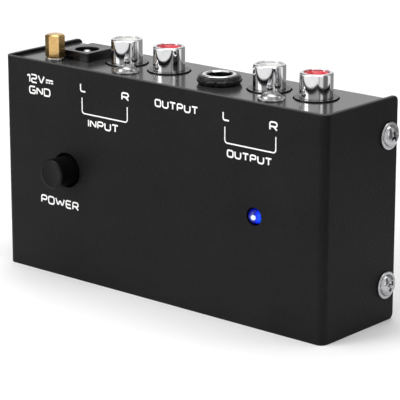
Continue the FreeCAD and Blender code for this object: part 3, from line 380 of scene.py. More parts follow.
drill(
    chassis, *((place(x, SOCKET_DEPTH, panel_middle), UP, SOCKET_HOLE, 2) for x in SOCKETS.values()),
    *((place(x, BLOCK_SCREW_DEPTH, panel_middle), UP, BLOCK_SCREW_HOLE, 2) for x in BLOCK_SCREWS),
    (place(*PHONE, panel_middle), UP, PHONE_HOLE, 2), (place(*POST, panel_middle), UP, POST_HOLE, 2),
    *((place(side * CHASSIS_HALF, SCREW_DEPTH, z), SIDEWAYS, TAB_HOLE, 3) for side, z in screw_places),
    *((place(x, BACK - SHEET / 2, z), BACKWARDS, STANDOFF_HOLE, 2) for x in STANDOFF_X for z in STANDOFF_Z))
opening = box_of_sheet(
    "opening", POWER_X - POWER_HALF - POWER_GAP, POWER_X + POWER_HALF + POWER_GAP, POWER_FRONT - POWER_GAP,
    POWER_BACK + POWER_GAP, PANEL_TOP - 3, PANEL_TOP + 3)
bpy.ops.object.mode_set(mode="OBJECT")
cut_away(chassis, opening)
ease_edges(chassis, 0.12)
settle(chassis, "folded_chassis", panel_paint, "root", "black_panel", "chassis")


# End screws: washer-faced domed heads with a cross recess, plated steel.
# Two hold each end plate of the cover to the tabs of the chassis.
def round_path(points, radius, steps=5):
    """Rounds the corners of a path; radius is one number, or a number for each corner by its index."""
    path = [Vector(points[0])]
    for index in range(1, len(points) - 1):
        r = radius.get(index, 0) if isinstance(radius, dict) else radius
        before, corner, after = (Vector(points[index + step]) for step in (-1, 0, 1))
        into, out = (before - corner), (after - corner)
        turn = into.angle(out)
        if r <= 0 or turn > math.radians(178):
            path.append(corner)
            continue
        reach = min(r / math.tan(turn / 2), into.length * 0.49, out.length * 0.49)
        start, end = corner + into.normalized() * reach, corner + out.normalized() * reach
        middle = corner + (into.normalized() + out.normalized()).normalized() * (reach / math.cos(turn / 2))
        sweep_from, sweep_to = start - middle, end - middle
        for step in range(steps + 1):
            t = step / steps
            sweep = math.pi - turn
            arm = sweep_from * math.sin((1 - t) * sweep) + sweep_to * math.sin(t * sweep)
            path.append(middle + arm / math.sin(sweep))
    path.append(Vector(points[-1]))
    return path


def turned(name, profile, sides=96, closed=False):
    """Draws a circle out ring by ring up the Z axis, from (radius, height) pairs in millimetres."""
    clear_selection()
    r, z = profile[0]
    bpy.ops.mesh.primitive_circle_add(vertices=sides, radius=max(r, 1e-4) * MM, location=(0, 0, z * MM))
    piece = bpy.context.object
    piece.name = name
    bpy.ops.object.transform_apply(location=True, rotation=True, scale=True)
    bpy.ops.object.mode_set(mode="EDIT")
    bpy.ops.mesh.select_all(action="SELECT")
    for (r0, z0), (r1, z1) in zip(profile, profile[1:]):
        bpy.ops.mesh.extrude_edges_move(TRANSFORM_OT_translate={"value": (0, 0, (z1 - z0) * MM)})
        grow = max(r1, 1e-4) / max(r0, 1e-4)
        bpy.ops.transform.resize(value=(grow, grow, 1), center_override=(0, 0, z1 * MM))
    if closed:
        first, last = profile[0], profile[-1]
        choose(piece, "VERT", lambda c: any(
            abs(c.z - z * MM) < 1e-7 and abs(math.hypot(c.x, c.y) - r * MM) < 1e-7 for r, z in (first, last)))
        bpy.ops.mesh.select_mode(type="EDGE")
        bpy.ops.mesh.bridge_edge_loops()
    bpy.ops.mesh.select_all(action="SELECT")
    bpy.ops.mesh.remove_doubles(threshold=1e-6)
    bpy.ops.mesh.normals_make_consistent(inside=False)
    bpy.ops.object.mode_set(mode="OBJECT")
    return piece


def stand(piece, point, direction=UP, spin=0.0):
    """Puts a piece that was made on the Z axis at a point, facing a direction."""
    piece.rotation_mode = "QUATERNION"
    piece.rotation_quaternion = direction.to_track_quat("Z", "Y") @ UP.to_track_quat("Z", "Y").inverted() @ (
        Vector((1, 0, 0)).rotation_difference(Vector((math.cos(spin), math.sin(spin), 0))))
    piece.location = point
    bpy.context.view_layer.update()
    work_on(piece)
    bpy.ops.object.transform_apply(location=True, rotation=True, scale=True)
    return piece


def another(piece):
    twin = piece.copy()
    twin.data = piece.data.copy()
    bpy.context.scene.collection.objects.link(twin)
    return twin


def arc(radius, height, rise, first, step):
    """Points of a dome's outline from its rim up to its crown, one at every step of degrees."""
    angles = [math.radians(degrees) for degrees in range(first, 91, step)]
    return [(radius * math.cos(angle), height + rise * math.sin(angle)) for angle in angles]


def cross_recess(piece, top, arm, width, depth):
    """Cuts a tapered cross into a head whose crown is at the given height on the Z axis."""
    for turn in (0, 90):
        clear_selection()
        bpy.ops.mesh.primitive_cube_add(
            size=1, scale=(arm * MM, width * MM, 2 * depth * MM), location=(0, 0, top * MM))
        cutter = bpy.context.object
        bpy.ops.object.transform_apply(location=True, rotation=True, scale=True)
        bpy.ops.object.mode_set(mode="EDIT")
        choose(cutter, "FACE", lambda c: c.z < (top - depth * 0.9) * MM)
        bpy.ops.transform.resize(value=(0.55, 0.8, 1), center_override=(0, 0, (top - depth) * MM))
        bpy.ops.object.mode_set(mode="OBJECT")
        cutter.rotation_euler = (0, 0, math.radians(turn))
        cut_away(piece, cutter)


plated_steel = finish(
    "bright zinc plate", (0.34, 0.34, 0.35), (0.56, 0.56, 0.57), (0.14, 0.28), grain=1800, patch=300,
    bump=0.15, height=0.02, Metallic=1.0)

screw = turned("screw", [
    (0.0, -6.0), (1.3, -6.0), (1.5, -5.8), (1.5, 0.0), (3.3, 0.0), (3.45, 0.06), (3.5, 0.2), (3.5, 0.42),
    (3.42, 0.55), (3.25, 0.6), (2.9, 0.6), *arc(2.75, 0.6, 1.42, 0, 10)])
cross_recess(screw, 2.02, 3.7, 0.95, 1.45)
ease_edges(screw, 0.05)
low, high = SCREW_Z
spins = ((1, high, 0.35), (1, low, 1.1), (-1, high, 0.7), (-1, low, 0.1))
for number, (side, z, spin) in enumerate(spins, 1):
    end_screw = stand(another(screw), place(side * CASE_HALF, SCREW_DEPTH, z), SIDEWAYS * side, spin)
    settle(end_screw, f"end_screw_{number}", plated_steel, "root", "zinc", "cover_screws")
bpy.data.objects.remove(screw)


# Feet: four moulded rubber discs, stuck to the back plate for when the case lies flat.
# Each has a rounded rim and a shallow dish in its face.
rubber = finish(
    "moulded rubber", (0.010, 0.010, 0.010), (0.022, 0.022, 0.0215), (0.7, 0.85), grain=1400, patch=200,
    bump=0.5, height=0.04, Specular_IOR_Level=0.35)
foot = turned("foot", [
    (0.0, 0.0), (3.85, 0.0), (4.0, 0.1), (4.0, 1.3), (3.95, 1.56), (3.8, 1.79), (3.56, 1.95), (3.3, 2.0),
    (2.9, 1.97), (2.6, 1.8), (2.2, 1.72), (0.0, 1.7)])
foot_places = [(x, z) for x in (-44.0, 44.0) for z in (8.0, 49.0)]
for number, (x, z) in enumerate(foot_places, 1):
    stuck_foot = stand(another(foot), place(x, BACK, z), BACKWARDS)
    settle(stuck_foot, f"foot_{number}", rubber, "root", "rubber", "rubber_feet")
bpy.data.objects.remove(foot)


# Power button: a round cap of matt black plastic that slides through the label face.
# It is moulded hollow and pressed on the switch's plunger, with a flange behind the face that keeps it in.
button_plastic = finish(
    "matt button plastic", (0.0015, 0.0015, 0.0017), (0.004, 0.004, 0.0042), (0.28, 0.36), grain=1600,
    patch=250, bump=0.3, height=0.02, Specular_IOR_Level=0.13)
button = turned("button", [
    (0.0, 0.3), (2.55, 0.3), (2.55, -4.2), (3.9, -4.2), (3.9, -3.4), (5.4, -3.4), (5.4, -2.6), (3.9, -2.6),
    (3.9, 5.3), (3.86, 5.5), (3.74, 5.66), (3.55, 5.77), (3.35, 5.8), (3.1, 5.78), (2.9, 5.72), (0.0, 5.7)])
stand(button, place(BUTTON[0], 0, BUTTON[1]), -BACKWARDS)
settle(button, "power_button", button_plastic, "power_button", "black_button", "power_button_cap")


# Indicator lamp: a blue lens of clear plastic with a domed tip, lit from inside.
# A rim at its root rests on the spacer tube that holds it at its hole.
def colour_ramp(nodes, *stops):
    """A ramp with a colour at each position."""
    ramp = nodes.new("ShaderNodeValToRGB")
    elements = ramp.color_ramp.elements
    for element, (position, colour) in zip(elements, (stops[0], stops[-1])):
        element.position = position
        element.color = (*colour, 1)
    for position, colour in stops[1:-1]:
        elements.new(position).color = (*colour, 1)
    return ramp


def lamp_glow(material, middle):
    """Lights the lens white at its tip, bright blue in a crescent on its right and dark blue elsewhere."""
    nodes, links = material.node_tree.nodes, material.node_tree.links
    shader = nodes["Principled BSDF"]
    where = nodes.new("ShaderNodeTexCoord")
    offset = nodes.new("ShaderNodeVectorMath")
    offset.operation = "SUBTRACT"
    offset.inputs[1].default_value = middle
    flat = nodes.new("ShaderNodeVectorMath")
    flat.operation = "MULTIPLY"
    flat.inputs[1].default_value = (1, 0.2, 1)
    far = nodes.new("ShaderNodeVectorMath")
    far.operation = "LENGTH"
    spot = colour_ramp(
        nodes, (0, (0.85, 0.97, 1.0)), (0.26, (0.75, 0.9, 1.0)), (0.37, (0.0, 0.0005, 0.14)),
        (1, (0.0, 0.001, 0.16)))
    across = nodes.new("ShaderNodeSeparateXYZ")
    reach = nodes.new("ShaderNodeMath")
    reach.operation = "MULTIPLY"
    reach.inputs[1].default_value = 1 / (1.6 * MM)
    crescent = colour_ramp(
        nodes, (0.1, (0.0, 0.0005, 0.1)), (0.42, (0.0, 0.02, 0.9)), (0.8, (0.01, 0.09, 1.0)),
        (1, (0.0, 0.004, 0.3)))
    both = nodes.new("ShaderNodeMix")
    both.data_type = "RGBA"
    both.blend_type = "LIGHTEN"
    both.inputs["Factor"].default_value = 1.0
    scale = nodes.new("ShaderNodeMath")
    scale.operation = "MULTIPLY"
    scale.inputs[1].default_value = 1 / (2.0 * MM)
    links.new(where.outputs["Object"], offset.inputs[0])
    links.new(offset.outputs[0], flat.inputs[0])
    links.new(flat.outputs[0], far.inputs[0])
    links.new(far.outputs["Value"], scale.inputs[0])
    links.new(scale.outputs[0], spot.inputs["Fac"])
    links.new(offset.outputs[0], across.inputs[0])
    links.new(across.outputs["X"], reach.inputs[0])
    links.new(reach.outputs[0], crescent.inputs["Fac"])
    links.new(spot.outputs["Color"], both.inputs["A"])
    links.new(crescent.outputs["Color"], both.inputs["B"])
    links.new(both.outputs["Result"], shader.inputs["Emission Color"])


lens_plastic = finish(
    "lit blue lens", (0.0, 0.002, 0.06), (0.001, 0.006, 0.12), (0.08, 0.14), grain=900, patch=300, bump=0.05,
    height=0.01, Emission_Strength=1.15, Specular_IOR_Level=0.25)
lamp_glow(lens_plastic, place(LAMP[0] + 0.45, -0.85, LAMP[1]))
lens = turned("lens", [
    (0.0, -5.3), (2.5, -5.3), (2.5, -4.3), (1.95, -4.3), (1.95, -1.05), *arc(1.95, -1.05, 1.95, 8, 8),
    (0.0, 0.9)])
stand(lens, place(LAMP[0], 0, LAMP[1]), -BACKWARDS)
settle(lens, "lamp_lens", lens_plastic, "root", "blue_lens", "led_lens")


# Phono sockets: four nickel-plated tubes with a rolled lip, in two moulded blocks.
# Each holds a plastic core, white for the left channel and red for the right, round a slit contact.
bright_nickel = finish(
    "bright nickel plate", (0.74, 0.74, 0.75), (0.86, 0.86, 0.87), (0.05, 0.1), grain=700, patch=140,
    bump=0.04, height=0.01, Metallic=1.0)
white_core = finish(
    "white moulded core", (0.56, 0.555, 0.54), (0.7, 0.695, 0.68), (0.3, 0.4), grain=900, patch=300, bump=0.1,
    height=0.02)
red_core = finish(
    "red moulded core", (0.5, 0.02, 0.035), (0.68, 0.05, 0.07), (0.22, 0.32), grain=900, patch=300, bump=0.1,
    height=0.02)
moulded_black = finish(
    "black moulded plastic", (0.0025, 0.0025, 0.0027), (0.006, 0.006, 0.0062), (0.2, 0.3), grain=1100,
    patch=160, bump=0.2)

shell = turned("shell", round_path(
    [(3.7, 49.2), (3.95, 49.2), (3.95, 56.7), (4.15, 56.7), (4.15, 62.7), (3.15, 62.7), (3.15, 62.4),
     (3.7, 62.1)], {4: 0.75, 5: 0.12}), closed=True)
core = turned("core", round_path(
    [(2.05, 49.2), (3.65, 49.2), (3.65, 62.0), (3.1, 62.05), (3.1, 62.36), (2.45, 62.36), (1.65, 61.6),
     (1.65, 61.25), (2.05, 61.25)], {4: 0.12, 5: 0.1}), closed=True)
for name, x in SOCKETS.items():
    tube = stand(another(shell), place(x, SOCKET_DEPTH, 0))
    settle(tube, name + "_tube", bright_nickel, "root", "chrome", name + "_shell")
    colour, slot = (red_core, "red_plastic") if name.endswith("right") else (white_core, "white_plastic")
    plug_core = stand(another(core), place(x, SOCKET_DEPTH, 0))
    settle(plug_core, name + "_core", colour, "root", slot, name + "_insulator")
bpy.data.objects.remove(shell)
bpy.data.objects.remove(core)


# Block screws: one plated screw in front of each pair of sockets, down through the panel into the block.
# The head is a thin washer face under a small dome with a cross recess.
screw_plate = finish(
    "dull zinc plate", (0.26, 0.255, 0.26), (0.44, 0.43, 0.44), (0.22, 0.36), grain=1500, patch=420, bump=0.2,
    height=0.02, Metallic=1.0)
panel_screw = turned("panel_screw", [
    (0.0, -7.0), (1.2, -7.0), (1.4, -6.8), (1.4, 0.0), (3.3, 0.0), (3.4, 0.08), (3.4, 0.38), (3.3, 0.5),
    (2.65, 0.5), *arc(2.65, 0.5, 1.4, 10, 10)])
cross_recess(panel_screw, 1.9, 3.3, 0.9, 1.35)
ease_edges(panel_screw, 0.05)
for number, (x, spin) in enumerate(zip(BLOCK_SCREWS, (0.5, 0.95)), 1):
    block_screw = stand(another(panel_screw), place(x, BLOCK_SCREW_DEPTH, PANEL_TOP), UP, spin)
    settle(block_screw, f"block_screw_{number}", screw_plate, "root", "zinc", "jack_block_screws")
bpy.data.objects.remove(panel_screw)


# Phone socket: a bright turned sleeve in a threaded plastic neck.
# A notched ring nut of black plastic clamps it to the panel.
ring = turned("ring", round_path(
    [(3.25, 49.7), (4.4, 49.7), (4.4, 58.7), (3.55, 58.7), (3.25, 58.4)], {2: 0.35, 3: 0.08}, 6), closed=True)
settle(stand(ring, place(*PHONE, 0)), "phone_sleeve", bright_nickel, "root", "chrome", "phone_jack_ring")
nut = turned("nut", round_path(
    [(5.0, 56.2), (5.2, 56.2), (5.75, 57.1), (5.75, 57.5), (5.4, 57.65), (5.4, 58.4), (5.0, 58.4)],
    {2: 0.15, 3: 0.12, 5: 0.15}, 4), closed=True)
stand(nut, place(*PHONE, 0))
NUT_RADIUS = 5.75
NOTCHES = 12
for notch in range(NOTCHES):
    angle = 2 * math.pi * notch / NOTCHES
    spot = place(PHONE[0] + NUT_RADIUS * math.cos(angle), PHONE[1] + NUT_RADIUS * math.sin(angle), PANEL_TOP)
    drill(nut, (spot, UP, 0.35, 1.4))
ease_edges(nut, 0.05)
settle(nut, "phone_ring_nut", moulded_black, "root", "black_plastic", "phone_jack_nut")


# Power socket: a square-sided block of moulded black plastic that stands through the panel.
# It has a round bore and a plated centre pin.
POWER_TOP = 58.5
BORE_DEPTH = 13.9
BORE_FLOOR = 48.5

housing = box_of_sheet(
    "housing", POWER_X - POWER_HALF, POWER_X + POWER_HALF, POWER_FRONT, POWER_BACK, 44.1, POWER_TOP)
choose(housing, "EDGE", lambda c, run: abs(run.z) > MM)
bpy.ops.mesh.bevel(offset=0.4 * MM, segments=4, affect="EDGES")
bpy.ops.object.mode_set(mode="OBJECT")
drill(
    housing, (place(POWER_X, BORE_DEPTH, POWER_TOP), UP, 3.15, POWER_TOP - BORE_FLOOR),
    (place(POWER_X, BORE_DEPTH, BORE_FLOOR), UP, 1.1, 1.5))
ease_edges(housing, 0.18, 3)
settle(housing, "power_socket_block", moulded_black, "root", "black_plastic", "dc_jack_housing")
pin = turned("pin", round_path([(0.0, 47.0), (1.05, 47.0), (1.05, 58.2), (0.0, 58.2)], {2: 0.55}, 6), sides=48)
stand(pin, place(POWER_X, BORE_DEPTH, 0))
settle(pin, "power_socket_pin", bright_nickel, "root", "chrome", "dc_jack_pin")


# Ground terminal: a brass hexagon nut on a plated stud, over a split spring washer.
# The nut is bored from below and turns up and down on the stud's thread.
brass = finish(
    "turned brass", (0.68, 0.41, 0.14), (0.88, 0.6, 0.27), (0.2, 0.32), grain=500, patch=260, bump=0.05,
    height=0.01, stretch=(1, 1, 3), Metallic=1.0)
NUT_FLATS = 4.5
NUT_LOW = 57.0
NUT_HEIGHT = 6.1
clear_selection()
bpy.ops.mesh.primitive_cylinder_add(vertices=6, radius=NUT_FLATS / math.sqrt(3) * MM, depth=NUT_HEIGHT * MM)
hexagon = bpy.context.object
hexagon.rotation_euler = (0, 0, math.radians(6.5))
hexagon.location = place(*POST, NUT_LOW + NUT_HEIGHT / 2)
bpy.ops.object.transform_apply(location=True, rotation=True, scale=True)
crown = turned("crown", (
    (0.0, NUT_LOW), (2.25, NUT_LOW), (2.6, 57.3), (2.6, 62.75), (1.95, 63.1), (0.0, 63.1)))
stand(crown, place(*POST, 0))
work_on(hexagon)
meet = hexagon.modifiers.new("meet", "BOOLEAN")
meet.operation = "INTERSECT"
meet.object = crown
bpy.ops.object.modifier_apply(modifier="meet")
bpy.data.objects.remove(crown)
drill(hexagon, (place(*POST, NUT_LOW), UP, 1.55, 5.1))
ease_edges(hexagon, 0.09, 3, 20)
settle(hexagon, "ground_hex_nut", brass, "ground_turn", "brass", "ground_nut")
washer = turned("washer", round_path(
    [(1.55, 56.2), (2.6, 56.2), (2.6, 57.0), (1.55, 57.0)], {1: 0.1, 2: 0.15}, 3), closed=True)
stand(washer, place(*POST, 0))
slit = box_of_sheet("slit", POST[0] + 1.0, POST[0] + 3.2, POST[1] - 0.25, POST[1] + 0.25, 55.8, 57.4)
bpy.ops.object.mode_set(mode="OBJECT")
cut_away(washer, slit)
ease_edges(washer, 0.04)
settle(washer, "ground_split_washer", plated_steel, "ground_lift", "zinc", "ground_washer")


# Legends: plain function words and brackets in white, beside the socket or control that each belongs to.
# They are screen-printed on the label face in a squared stroke letter, as a film of ink about 0.03 mm thick.
ink = finish(
    "white screen ink", (0.72, 0.72, 0.71), (0.9, 0.9, 0.89), (0.45, 0.6), grain=1600, patch=300, bump=0.2,
    height=0.01, Specular_IOR_Level=0.3)

SOFT = 0.25
SHARP = 0.13
SIDE_BEARING = 0.001
LETTER_SPACE = 0.66
WORD_STROKE = 0.42
BRACKET_STROKE = 0.34
FILM = 0.06
LETTERS = {
    "1": (0.36, (((0, 0.76), (0.36, 1), (0.36, 0)), SHARP)),
    "2": (0.8, (((0, 1), (0.8, 1), (0.8, 0.52), (0, 0.48), (0, 0), (0.8, 0)), SOFT)),
    "D": (0.85, (((0, 0), (0, 1), (0.85, 1), (0.85, 0), (0, 0)), {2: 0.35, 3: 0.35})),
    "E": (0.75, (((0.75, 1), (0, 1), (0, 0), (0.75, 0)), SOFT), (((0, 0.5), (0.66, 0.5)), 0)),
    "G": (0.85, (
        ((0.85, 1), (0, 1), (0, 0), (0.85, 0), (0.85, 0.48), (0.45, 0.48)), {1: 0.3, 2: 0.3, 3: 0.2})),
    "I": (0.0, (((0, 1), (0, 0)), 0)),
    "L": (0.72, (((0, 1), (0, 0), (0.72, 0)), SOFT)),
    "N": (0.85, (((0, 0), (0, 1), (0.85, 0), (0.85, 1)), SHARP)),
    "O": (0.85, (((0.4, 1), (0, 1), (0, 0), (0.85, 0), (0.85, 1), (0.4, 1)), 0.3)),
    "P": (0.8, (((0, 0), (0, 1), (0.8, 1), (0.8, 0.42), (0, 0.42)), 0.28)),
    "R": (0.8, (((0, 0), (0, 1), (0.8, 1), (0.8, 0.42), (0, 0.42)), 0.28), (((0.4, 0.42), (0.82, 0)), 0)),
    "T": (0.85, (((0, 1), (0.85, 1)), 0), (((0.425, 1), (0.425, 0)), 0)),
    "U": (0.85, (((0, 1), (0, 0), (0.85, 0), (0.85, 1)), 0.35)),
    "V": (0.9, (((0, 1), (0.45, 0), (0.9, 1)), SHARP)),
    "W": (1.3, (((0, 1), (0.32, 0), (0.65, 0.85), (0.98, 0), (1.3, 1)), SHARP)),
    "=": (1.1, (((0, 0.62), (1.1, 0.62)), 0), *(((((x, 0.3), (x + 0.26, 0.3)), 0)) for x in (0, 0.42, 0.84))),
}
INPUT_BRACKET = ((-25.3, 49.5), (-25.3, 45.4), (-9.6, 45.4), (-9.6, 49.4))
OUTPUT_BRACKET = ((22.5, 49.5), (22.5, 45.5), (38.35, 45.5), (38.35, 49.5))
WORDS = (
    ("12V=", -44.9, -35.6, 53.0, 51.0),
    ("GND", -44.2, -36.8, 49.8, 48.0),
    ("L", -25.75, -24.1, 53.05, 51.15),
    ("R", -11.35, -9.2, 52.9, 51.15),
    ("INPUT", -23.1, -12.85, 44.0, 42.3),
    ("OUTPUT", -0.1, 13.75, 52.85, 51.2),
    ("L", 21.95, 23.8, 53.05, 51.15),
    ("R", 36.5, 38.65, 53.0, 51.1),
    ("OUTPUT", 23.35, 37.05, 43.8, 42.2),
    ("POWER", -40.55, -27.3, 20.95, 19.05),
)


def word_strokes(word, left, right, top, bottom):
    """The strokes of a word, spread evenly between its left and right ends, in millimetres on the face."""
    height = top - bottom
    shares = [LETTERS[letter][0] + SIDE_BEARING for letter in word]
    stretch = (right - left - LETTER_SPACE * (len(word) - 1)) / sum(shares)
    widths = [share * stretch for share in shares]
    start = left
    for letter, width in zip(word, widths):
        for points, corner in LETTERS[letter][1:]:
            yield [(start + x * stretch, bottom + z * height) for x, z in points], (
                {k: r * height for k, r in corner.items()} if isinstance(corner, dict) else corner * height)
        start += width + LETTER_SPACE


def round_wire(name, paths, thickness):
    """A mesh of round wire along paths given in millimetres, with closed ends."""
    curve = bpy.data.curves.new(name, "CURVE")
    curve.dimensions = "3D"
    curve.bevel_depth = thickness / 2 * MM
    curve.bevel_resolution = 2
    curve.use_fill_caps = True
    for path in paths:
        line = curve.splines.new("POLY")
        line.points.add(len(path) - 1)
        for spot, point in zip(line.points, path):
            spot.co = (*(Vector(point) * MM), 1)
    wire = bpy.data.objects.new(name, curve)
    bpy.context.scene.collection.objects.link(wire)
    work_on(wire)
    bpy.ops.object.convert(target="MESH")
    return bpy.context.object


def printed(name, strokes, width):
    """Lays round strokes along rounded paths and presses them flat on the label face."""
    paths = [round_path([(x, z, 0) for x, z in points], corner) for points, corner in strokes]
    print_object = round_wire(name, paths, width)
    print_object.scale = (1, 1, FILM / width)
    print_object.rotation_euler = (math.radians(90), 0, 0)
    print_object.location = (0, FACE_Y, 0)
    return print_object


for number, word in enumerate(WORDS, 1):
    legend = printed("word", word_strokes(*word), WORD_STROKE)
    settle(legend, f"legend_{number}", ink, "root", "white_plastic")
for name, path in (("input_bracket", INPUT_BRACKET), ("output_bracket", OUTPUT_BRACKET)):
    settle(printed(name, ((path, 0.8),), BRACKET_STROKE), name, ink, "root", "white_plastic")


# Switch spring: a compression coil of drawn steel wire inside the power switch.
# It stands between the plunger's foot and the switch's floor, as one rigid coil at its full length.
SPRING_WIRE = 0.4
SPRING_CURLS = 5
STEPS_PER_CURL = 32

spring_wire = finish(
    "drawn spring wire", (0.34, 0.34, 0.35), (0.52, 0.52, 0.53), (0.2, 0.35), grain=1500, patch=400, bump=0.1,
    height=0.01, Metallic=1.0)
near, far = (Vector(corner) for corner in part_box("power_switch_spring"))
middle = (near + far) / 2
coil_radius = (far.x - near.x) / MM / 2 - SPRING_WIRE / 2
coil_length = (far.y - near.y) / MM - SPRING_WIRE
helix = []
for step in range(STEPS_PER_CURL * SPRING_CURLS + 1):
    share = step / (STEPS_PER_CURL * SPRING_CURLS)
    angle = 2 * math.pi * SPRING_CURLS * share
    helix.append((coil_radius * math.cos(angle), (share - 0.5) * coil_length, coil_radius * math.sin(angle)))
coil = round_wire("coil", [helix], SPRING_WIRE)
coil.location = middle
settle(coil, "switch_spring", spring_wire, "root", "spring_steel", "power_switch_spring", smooth=60)
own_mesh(coil)


# Inside: the circuit board, its standoffs and screws, the push switch, the contacts and the small parts.
# Moulded, drawn, etched and soldered parts that keep the shapes of their solids, each in its own material.
board_mask = finish(
    "green solder mask", (0.012, 0.10, 0.035), (0.03, 0.2, 0.07), (0.25, 0.4), grain=700, patch=120,
    bump=0.15, Coat_Weight=0.4)
tinned = finish(
    "tinned metal", (0.5, 0.5, 0.48), (0.7, 0.7, 0.67), (0.25, 0.4), grain=1200, patch=300, bump=0.12,
    Metallic=1.0)
green_insulation = finish(
    "green wire insulation", (0.01, 0.16, 0.04), (0.03, 0.27, 0.08), (0.35, 0.45), grain=900, patch=200,
    bump=0.1)
can_sleeve = finish(
    "dark can sleeve", (0.01, 0.013, 0.05), (0.03, 0.035, 0.1), (0.25, 0.4), grain=700, patch=150, bump=0.1,
    height=0.02)
dipped_film = finish(
    "dipped film case", (0.36, 0.07, 0.025), (0.55, 0.14, 0.05), (0.2, 0.32), grain=500, patch=150, bump=0.2,
    height=0.03)
lacquer = finish(
    "pale blue lacquer", (0.2, 0.36, 0.46), (0.34, 0.5, 0.6), (0.3, 0.42), grain=600, patch=200, bump=0.2,
    height=0.03)
inside = {
    board_mask: ("circuit_board",),
    plated_steel: ("board_standoffs", "board_screws", "ground_stud"),
    tinned: (
        "power_switch_pins", "led_leads", "input_left_contact", "input_right_contact", "output_left_contact",
        "output_right_contact", "phone_jack_sleeve_contact", "phone_jack_tip_contact", "dc_jack_spring",
        "ground_lug"),
    green_insulation: ("ground_wire",),
    can_sleeve: ("electrolytic_capacitors",),
    dipped_film: ("film_capacitors",),
    lacquer: ("resistors",),
    moulded_black: (
        "power_switch_plunger", "power_switch_housing", "led_spacer", "input_jack_block", "output_jack_block",
        "phone_jack_body", "op_amp_left", "op_amp_right", "reverse_diode", "voltage_regulator"),
}
for material, names in inside.items():
    for name in names:
        frame["nodes"][name].data.materials.clear()
        frame["nodes"][name].data.materials.append(material)


# Studio: a pale floor, a white surround and three soft lamps.
# The camera stands to the right of the label face and looks a little down, as in the photograph.
SCREENS = (
    (-180, 0.10), (-173, 0.10), (-165, 1.0), (-36, 0.95), (-31, 0.3), (-26, 0.8), (-8, 0.75), (-2, 0.16),
    (24, 0.16), (31, 1.0), (46, 0.9), (52, 0.3), (106, 0.32), (114, 0.86), (146, 0.9), (157, 0.1), (180, 0.1))
MIRROR_FROM = 0.11
MIRROR_FULL = 0.2


def surround_group():
    """How bright the studio is at each bearing round the object: wide white screens between dark gaps."""
    group = bpy.data.node_groups.new("white screens and dark gaps", "ShaderNodeTree")
    group.interface.new_socket(name="Direction", in_out="INPUT", socket_type="NodeSocketVector")
    group.interface.new_socket(name="Brightness", in_out="OUTPUT", socket_type="NodeSocketFloat")
    nodes, links = group.nodes, group.links
    entry = nodes.new("NodeGroupInput")
    leave = nodes.new("NodeGroupOutput")
    split = nodes.new("ShaderNodeSeparateXYZ")
    bearing = nodes.new("ShaderNodeMath")
    bearing.operation = "ARCTAN2"
    turn = nodes.new("ShaderNodeMapRange")
    turn.inputs["From Min"].default_value = -math.pi
    turn.inputs["From Max"].default_value = math.pi
    ramp = colour_ramp(nodes, *(((degrees + 180) / 360, (level, level, level)) for degrees, level in SCREENS))
    links.new(entry.outputs["Direction"], split.inputs[0])
    links.new(split.outputs["Y"], bearing.inputs[0])
    links.new(split.outputs["X"], bearing.inputs[1])
    links.new(bearing.outputs[0], turn.inputs["Value"])
    links.new(turn.outputs["Result"], ramp.inputs["Fac"])
    links.new(ramp.outputs["Color"], leave.inputs["Brightness"])
    return group


def floor_material(surround):
    """Plain pale paint, which mirrors see as the surround beyond a ring, and which is clear from below."""
    material = bpy.data.materials.new("pale floor")
    material.use_nodes = True
    nodes, links = material.node_tree.nodes, material.node_tree.links
    shader = nodes["Principled BSDF"]
    shader.inputs["Base Color"].default_value = (0.9, 0.9, 0.9, 1)
    shader.inputs["Roughness"].default_value = 0.9
    shader.inputs["Specular IOR Level"].default_value = 0.1
    where = nodes.new("ShaderNodeTexCoord")
    around = nodes.new("ShaderNodeGroup")
    around.node_tree = surround
    mirrored = nodes.new("ShaderNodeEmission")
    distance = nodes.new("ShaderNodeVectorMath")
    distance.operation = "LENGTH"
    beyond = nodes.new("ShaderNodeMapRange")
    beyond.inputs["From Min"].default_value = MIRROR_FROM
    beyond.inputs["From Max"].default_value = MIRROR_FULL
    ray = nodes.new("ShaderNodeLightPath")
    both = nodes.new("ShaderNodeMath")
    both.operation = "MULTIPLY"
    surface = nodes.new("ShaderNodeMixShader")
    side = nodes.new("ShaderNodeNewGeometry")
    clear = nodes.new("ShaderNodeBsdfTransparent")
    one_sided = nodes.new("ShaderNodeMixShader")
    links.new(where.outputs["Object"], around.inputs["Direction"])
    links.new(around.outputs["Brightness"], mirrored.inputs["Strength"])
    links.new(where.outputs["Object"], distance.inputs[0])
    links.new(distance.outputs["Value"], beyond.inputs["Value"])
    links.new(beyond.outputs["Result"], both.inputs[0])
    links.new(ray.outputs["Is Glossy Ray"], both.inputs[1])
    links.new(both.outputs[0], surface.inputs["Fac"])
    links.new(shader.outputs[0], surface.inputs[1])
    links.new(mirrored.outputs[0], surface.inputs[2])
    links.new(side.outputs["Backfacing"], one_sided.inputs["Fac"])
    links.new(surface.outputs[0], one_sided.inputs[1])
    links.new(clear.outputs[0], one_sided.inputs[2])
    links.new(one_sided.outputs[0], nodes["Material Output"].inputs["Surface"])
    return material


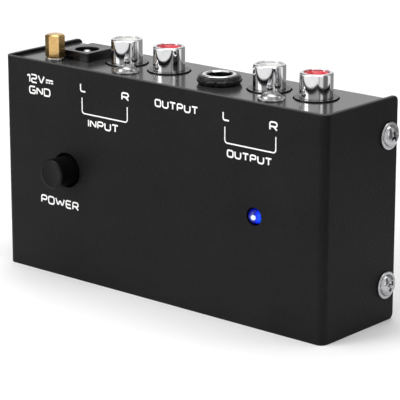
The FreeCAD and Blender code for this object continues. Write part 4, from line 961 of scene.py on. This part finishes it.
def white_world(surround):
    """White to the camera, and the surround to everything else."""
    world = bpy.data.worlds.new("white surround")
    bpy.context.scene.world = world
    world.use_nodes = True
    nodes, links = world.node_tree.nodes, world.node_tree.links
    light = nodes["Background"]
    light.inputs["Color"].default_value = (1, 1, 1, 1)
    where = nodes.new("ShaderNodeTexCoord")
    around = nodes.new("ShaderNodeGroup")
    around.node_tree = surround
    seen = nodes.new("ShaderNodeBackground")
    seen.inputs["Color"].default_value = (1, 1, 1, 1)
    ray = nodes.new("ShaderNodeLightPath")
    mix = nodes.new("ShaderNodeMixShader")
    links.new(where.outputs["Generated"], around.inputs["Direction"])
    links.new(around.outputs["Brightness"], light.inputs["Strength"])
    links.new(ray.outputs["Is Camera Ray"], mix.inputs["Fac"])
    links.new(light.outputs[0], mix.inputs[1])
    links.new(seen.outputs[0], mix.inputs[2])
    links.new(mix.outputs[0], nodes["World Output"].inputs["Surface"])


def soft_lamp(name, where, width, height, power):
    """A soft rectangle of white light in metres and watts, turned to the middle of the object."""
    lamp = bpy.data.lights.new(name, "AREA")
    lamp.shape = "RECTANGLE"
    lamp.size = width
    lamp.size_y = height
    lamp.energy = power
    holder = bpy.data.objects.new(name, lamp)
    bpy.context.scene.collection.objects.link(holder)
    holder.location = where
    holder.rotation_euler = (Vector((0, 0, 0.03)) - Vector(where)).to_track_quat("-Z", "Y").to_euler()


surround = surround_group()
clear_selection()
bpy.ops.mesh.primitive_plane_add(size=6)
floor = bpy.context.object
floor.name = "floor"
floor.data.materials.append(floor_material(surround))
white_world(surround)
soft_lamp("key lamp", (-0.45, -0.75, 0.55), 0.5, 0.7, 5)
soft_lamp("side lamp", (0.9, -0.25, 0.35), 0.25, 0.6, 0.6)
soft_lamp("top lamp", (0.0, 0.1, 0.9), 0.8, 0.5, 4)

camera_data = bpy.data.cameras.new("camera")
camera_data.lens = 196.1
camera_data.sensor_width = 36
camera_data.clip_start = 0.01
camera = bpy.data.objects.new("camera", camera_data)
bpy.context.scene.collection.objects.link(camera)
camera.location = place(352.29, -393.48, 175.8)
camera.rotation_euler = (math.radians(90 - 15.75), 0, math.radians(40.64))
bpy.context.scene.camera = camera
bpy.context.scene.view_settings.view_transform = "Standard"
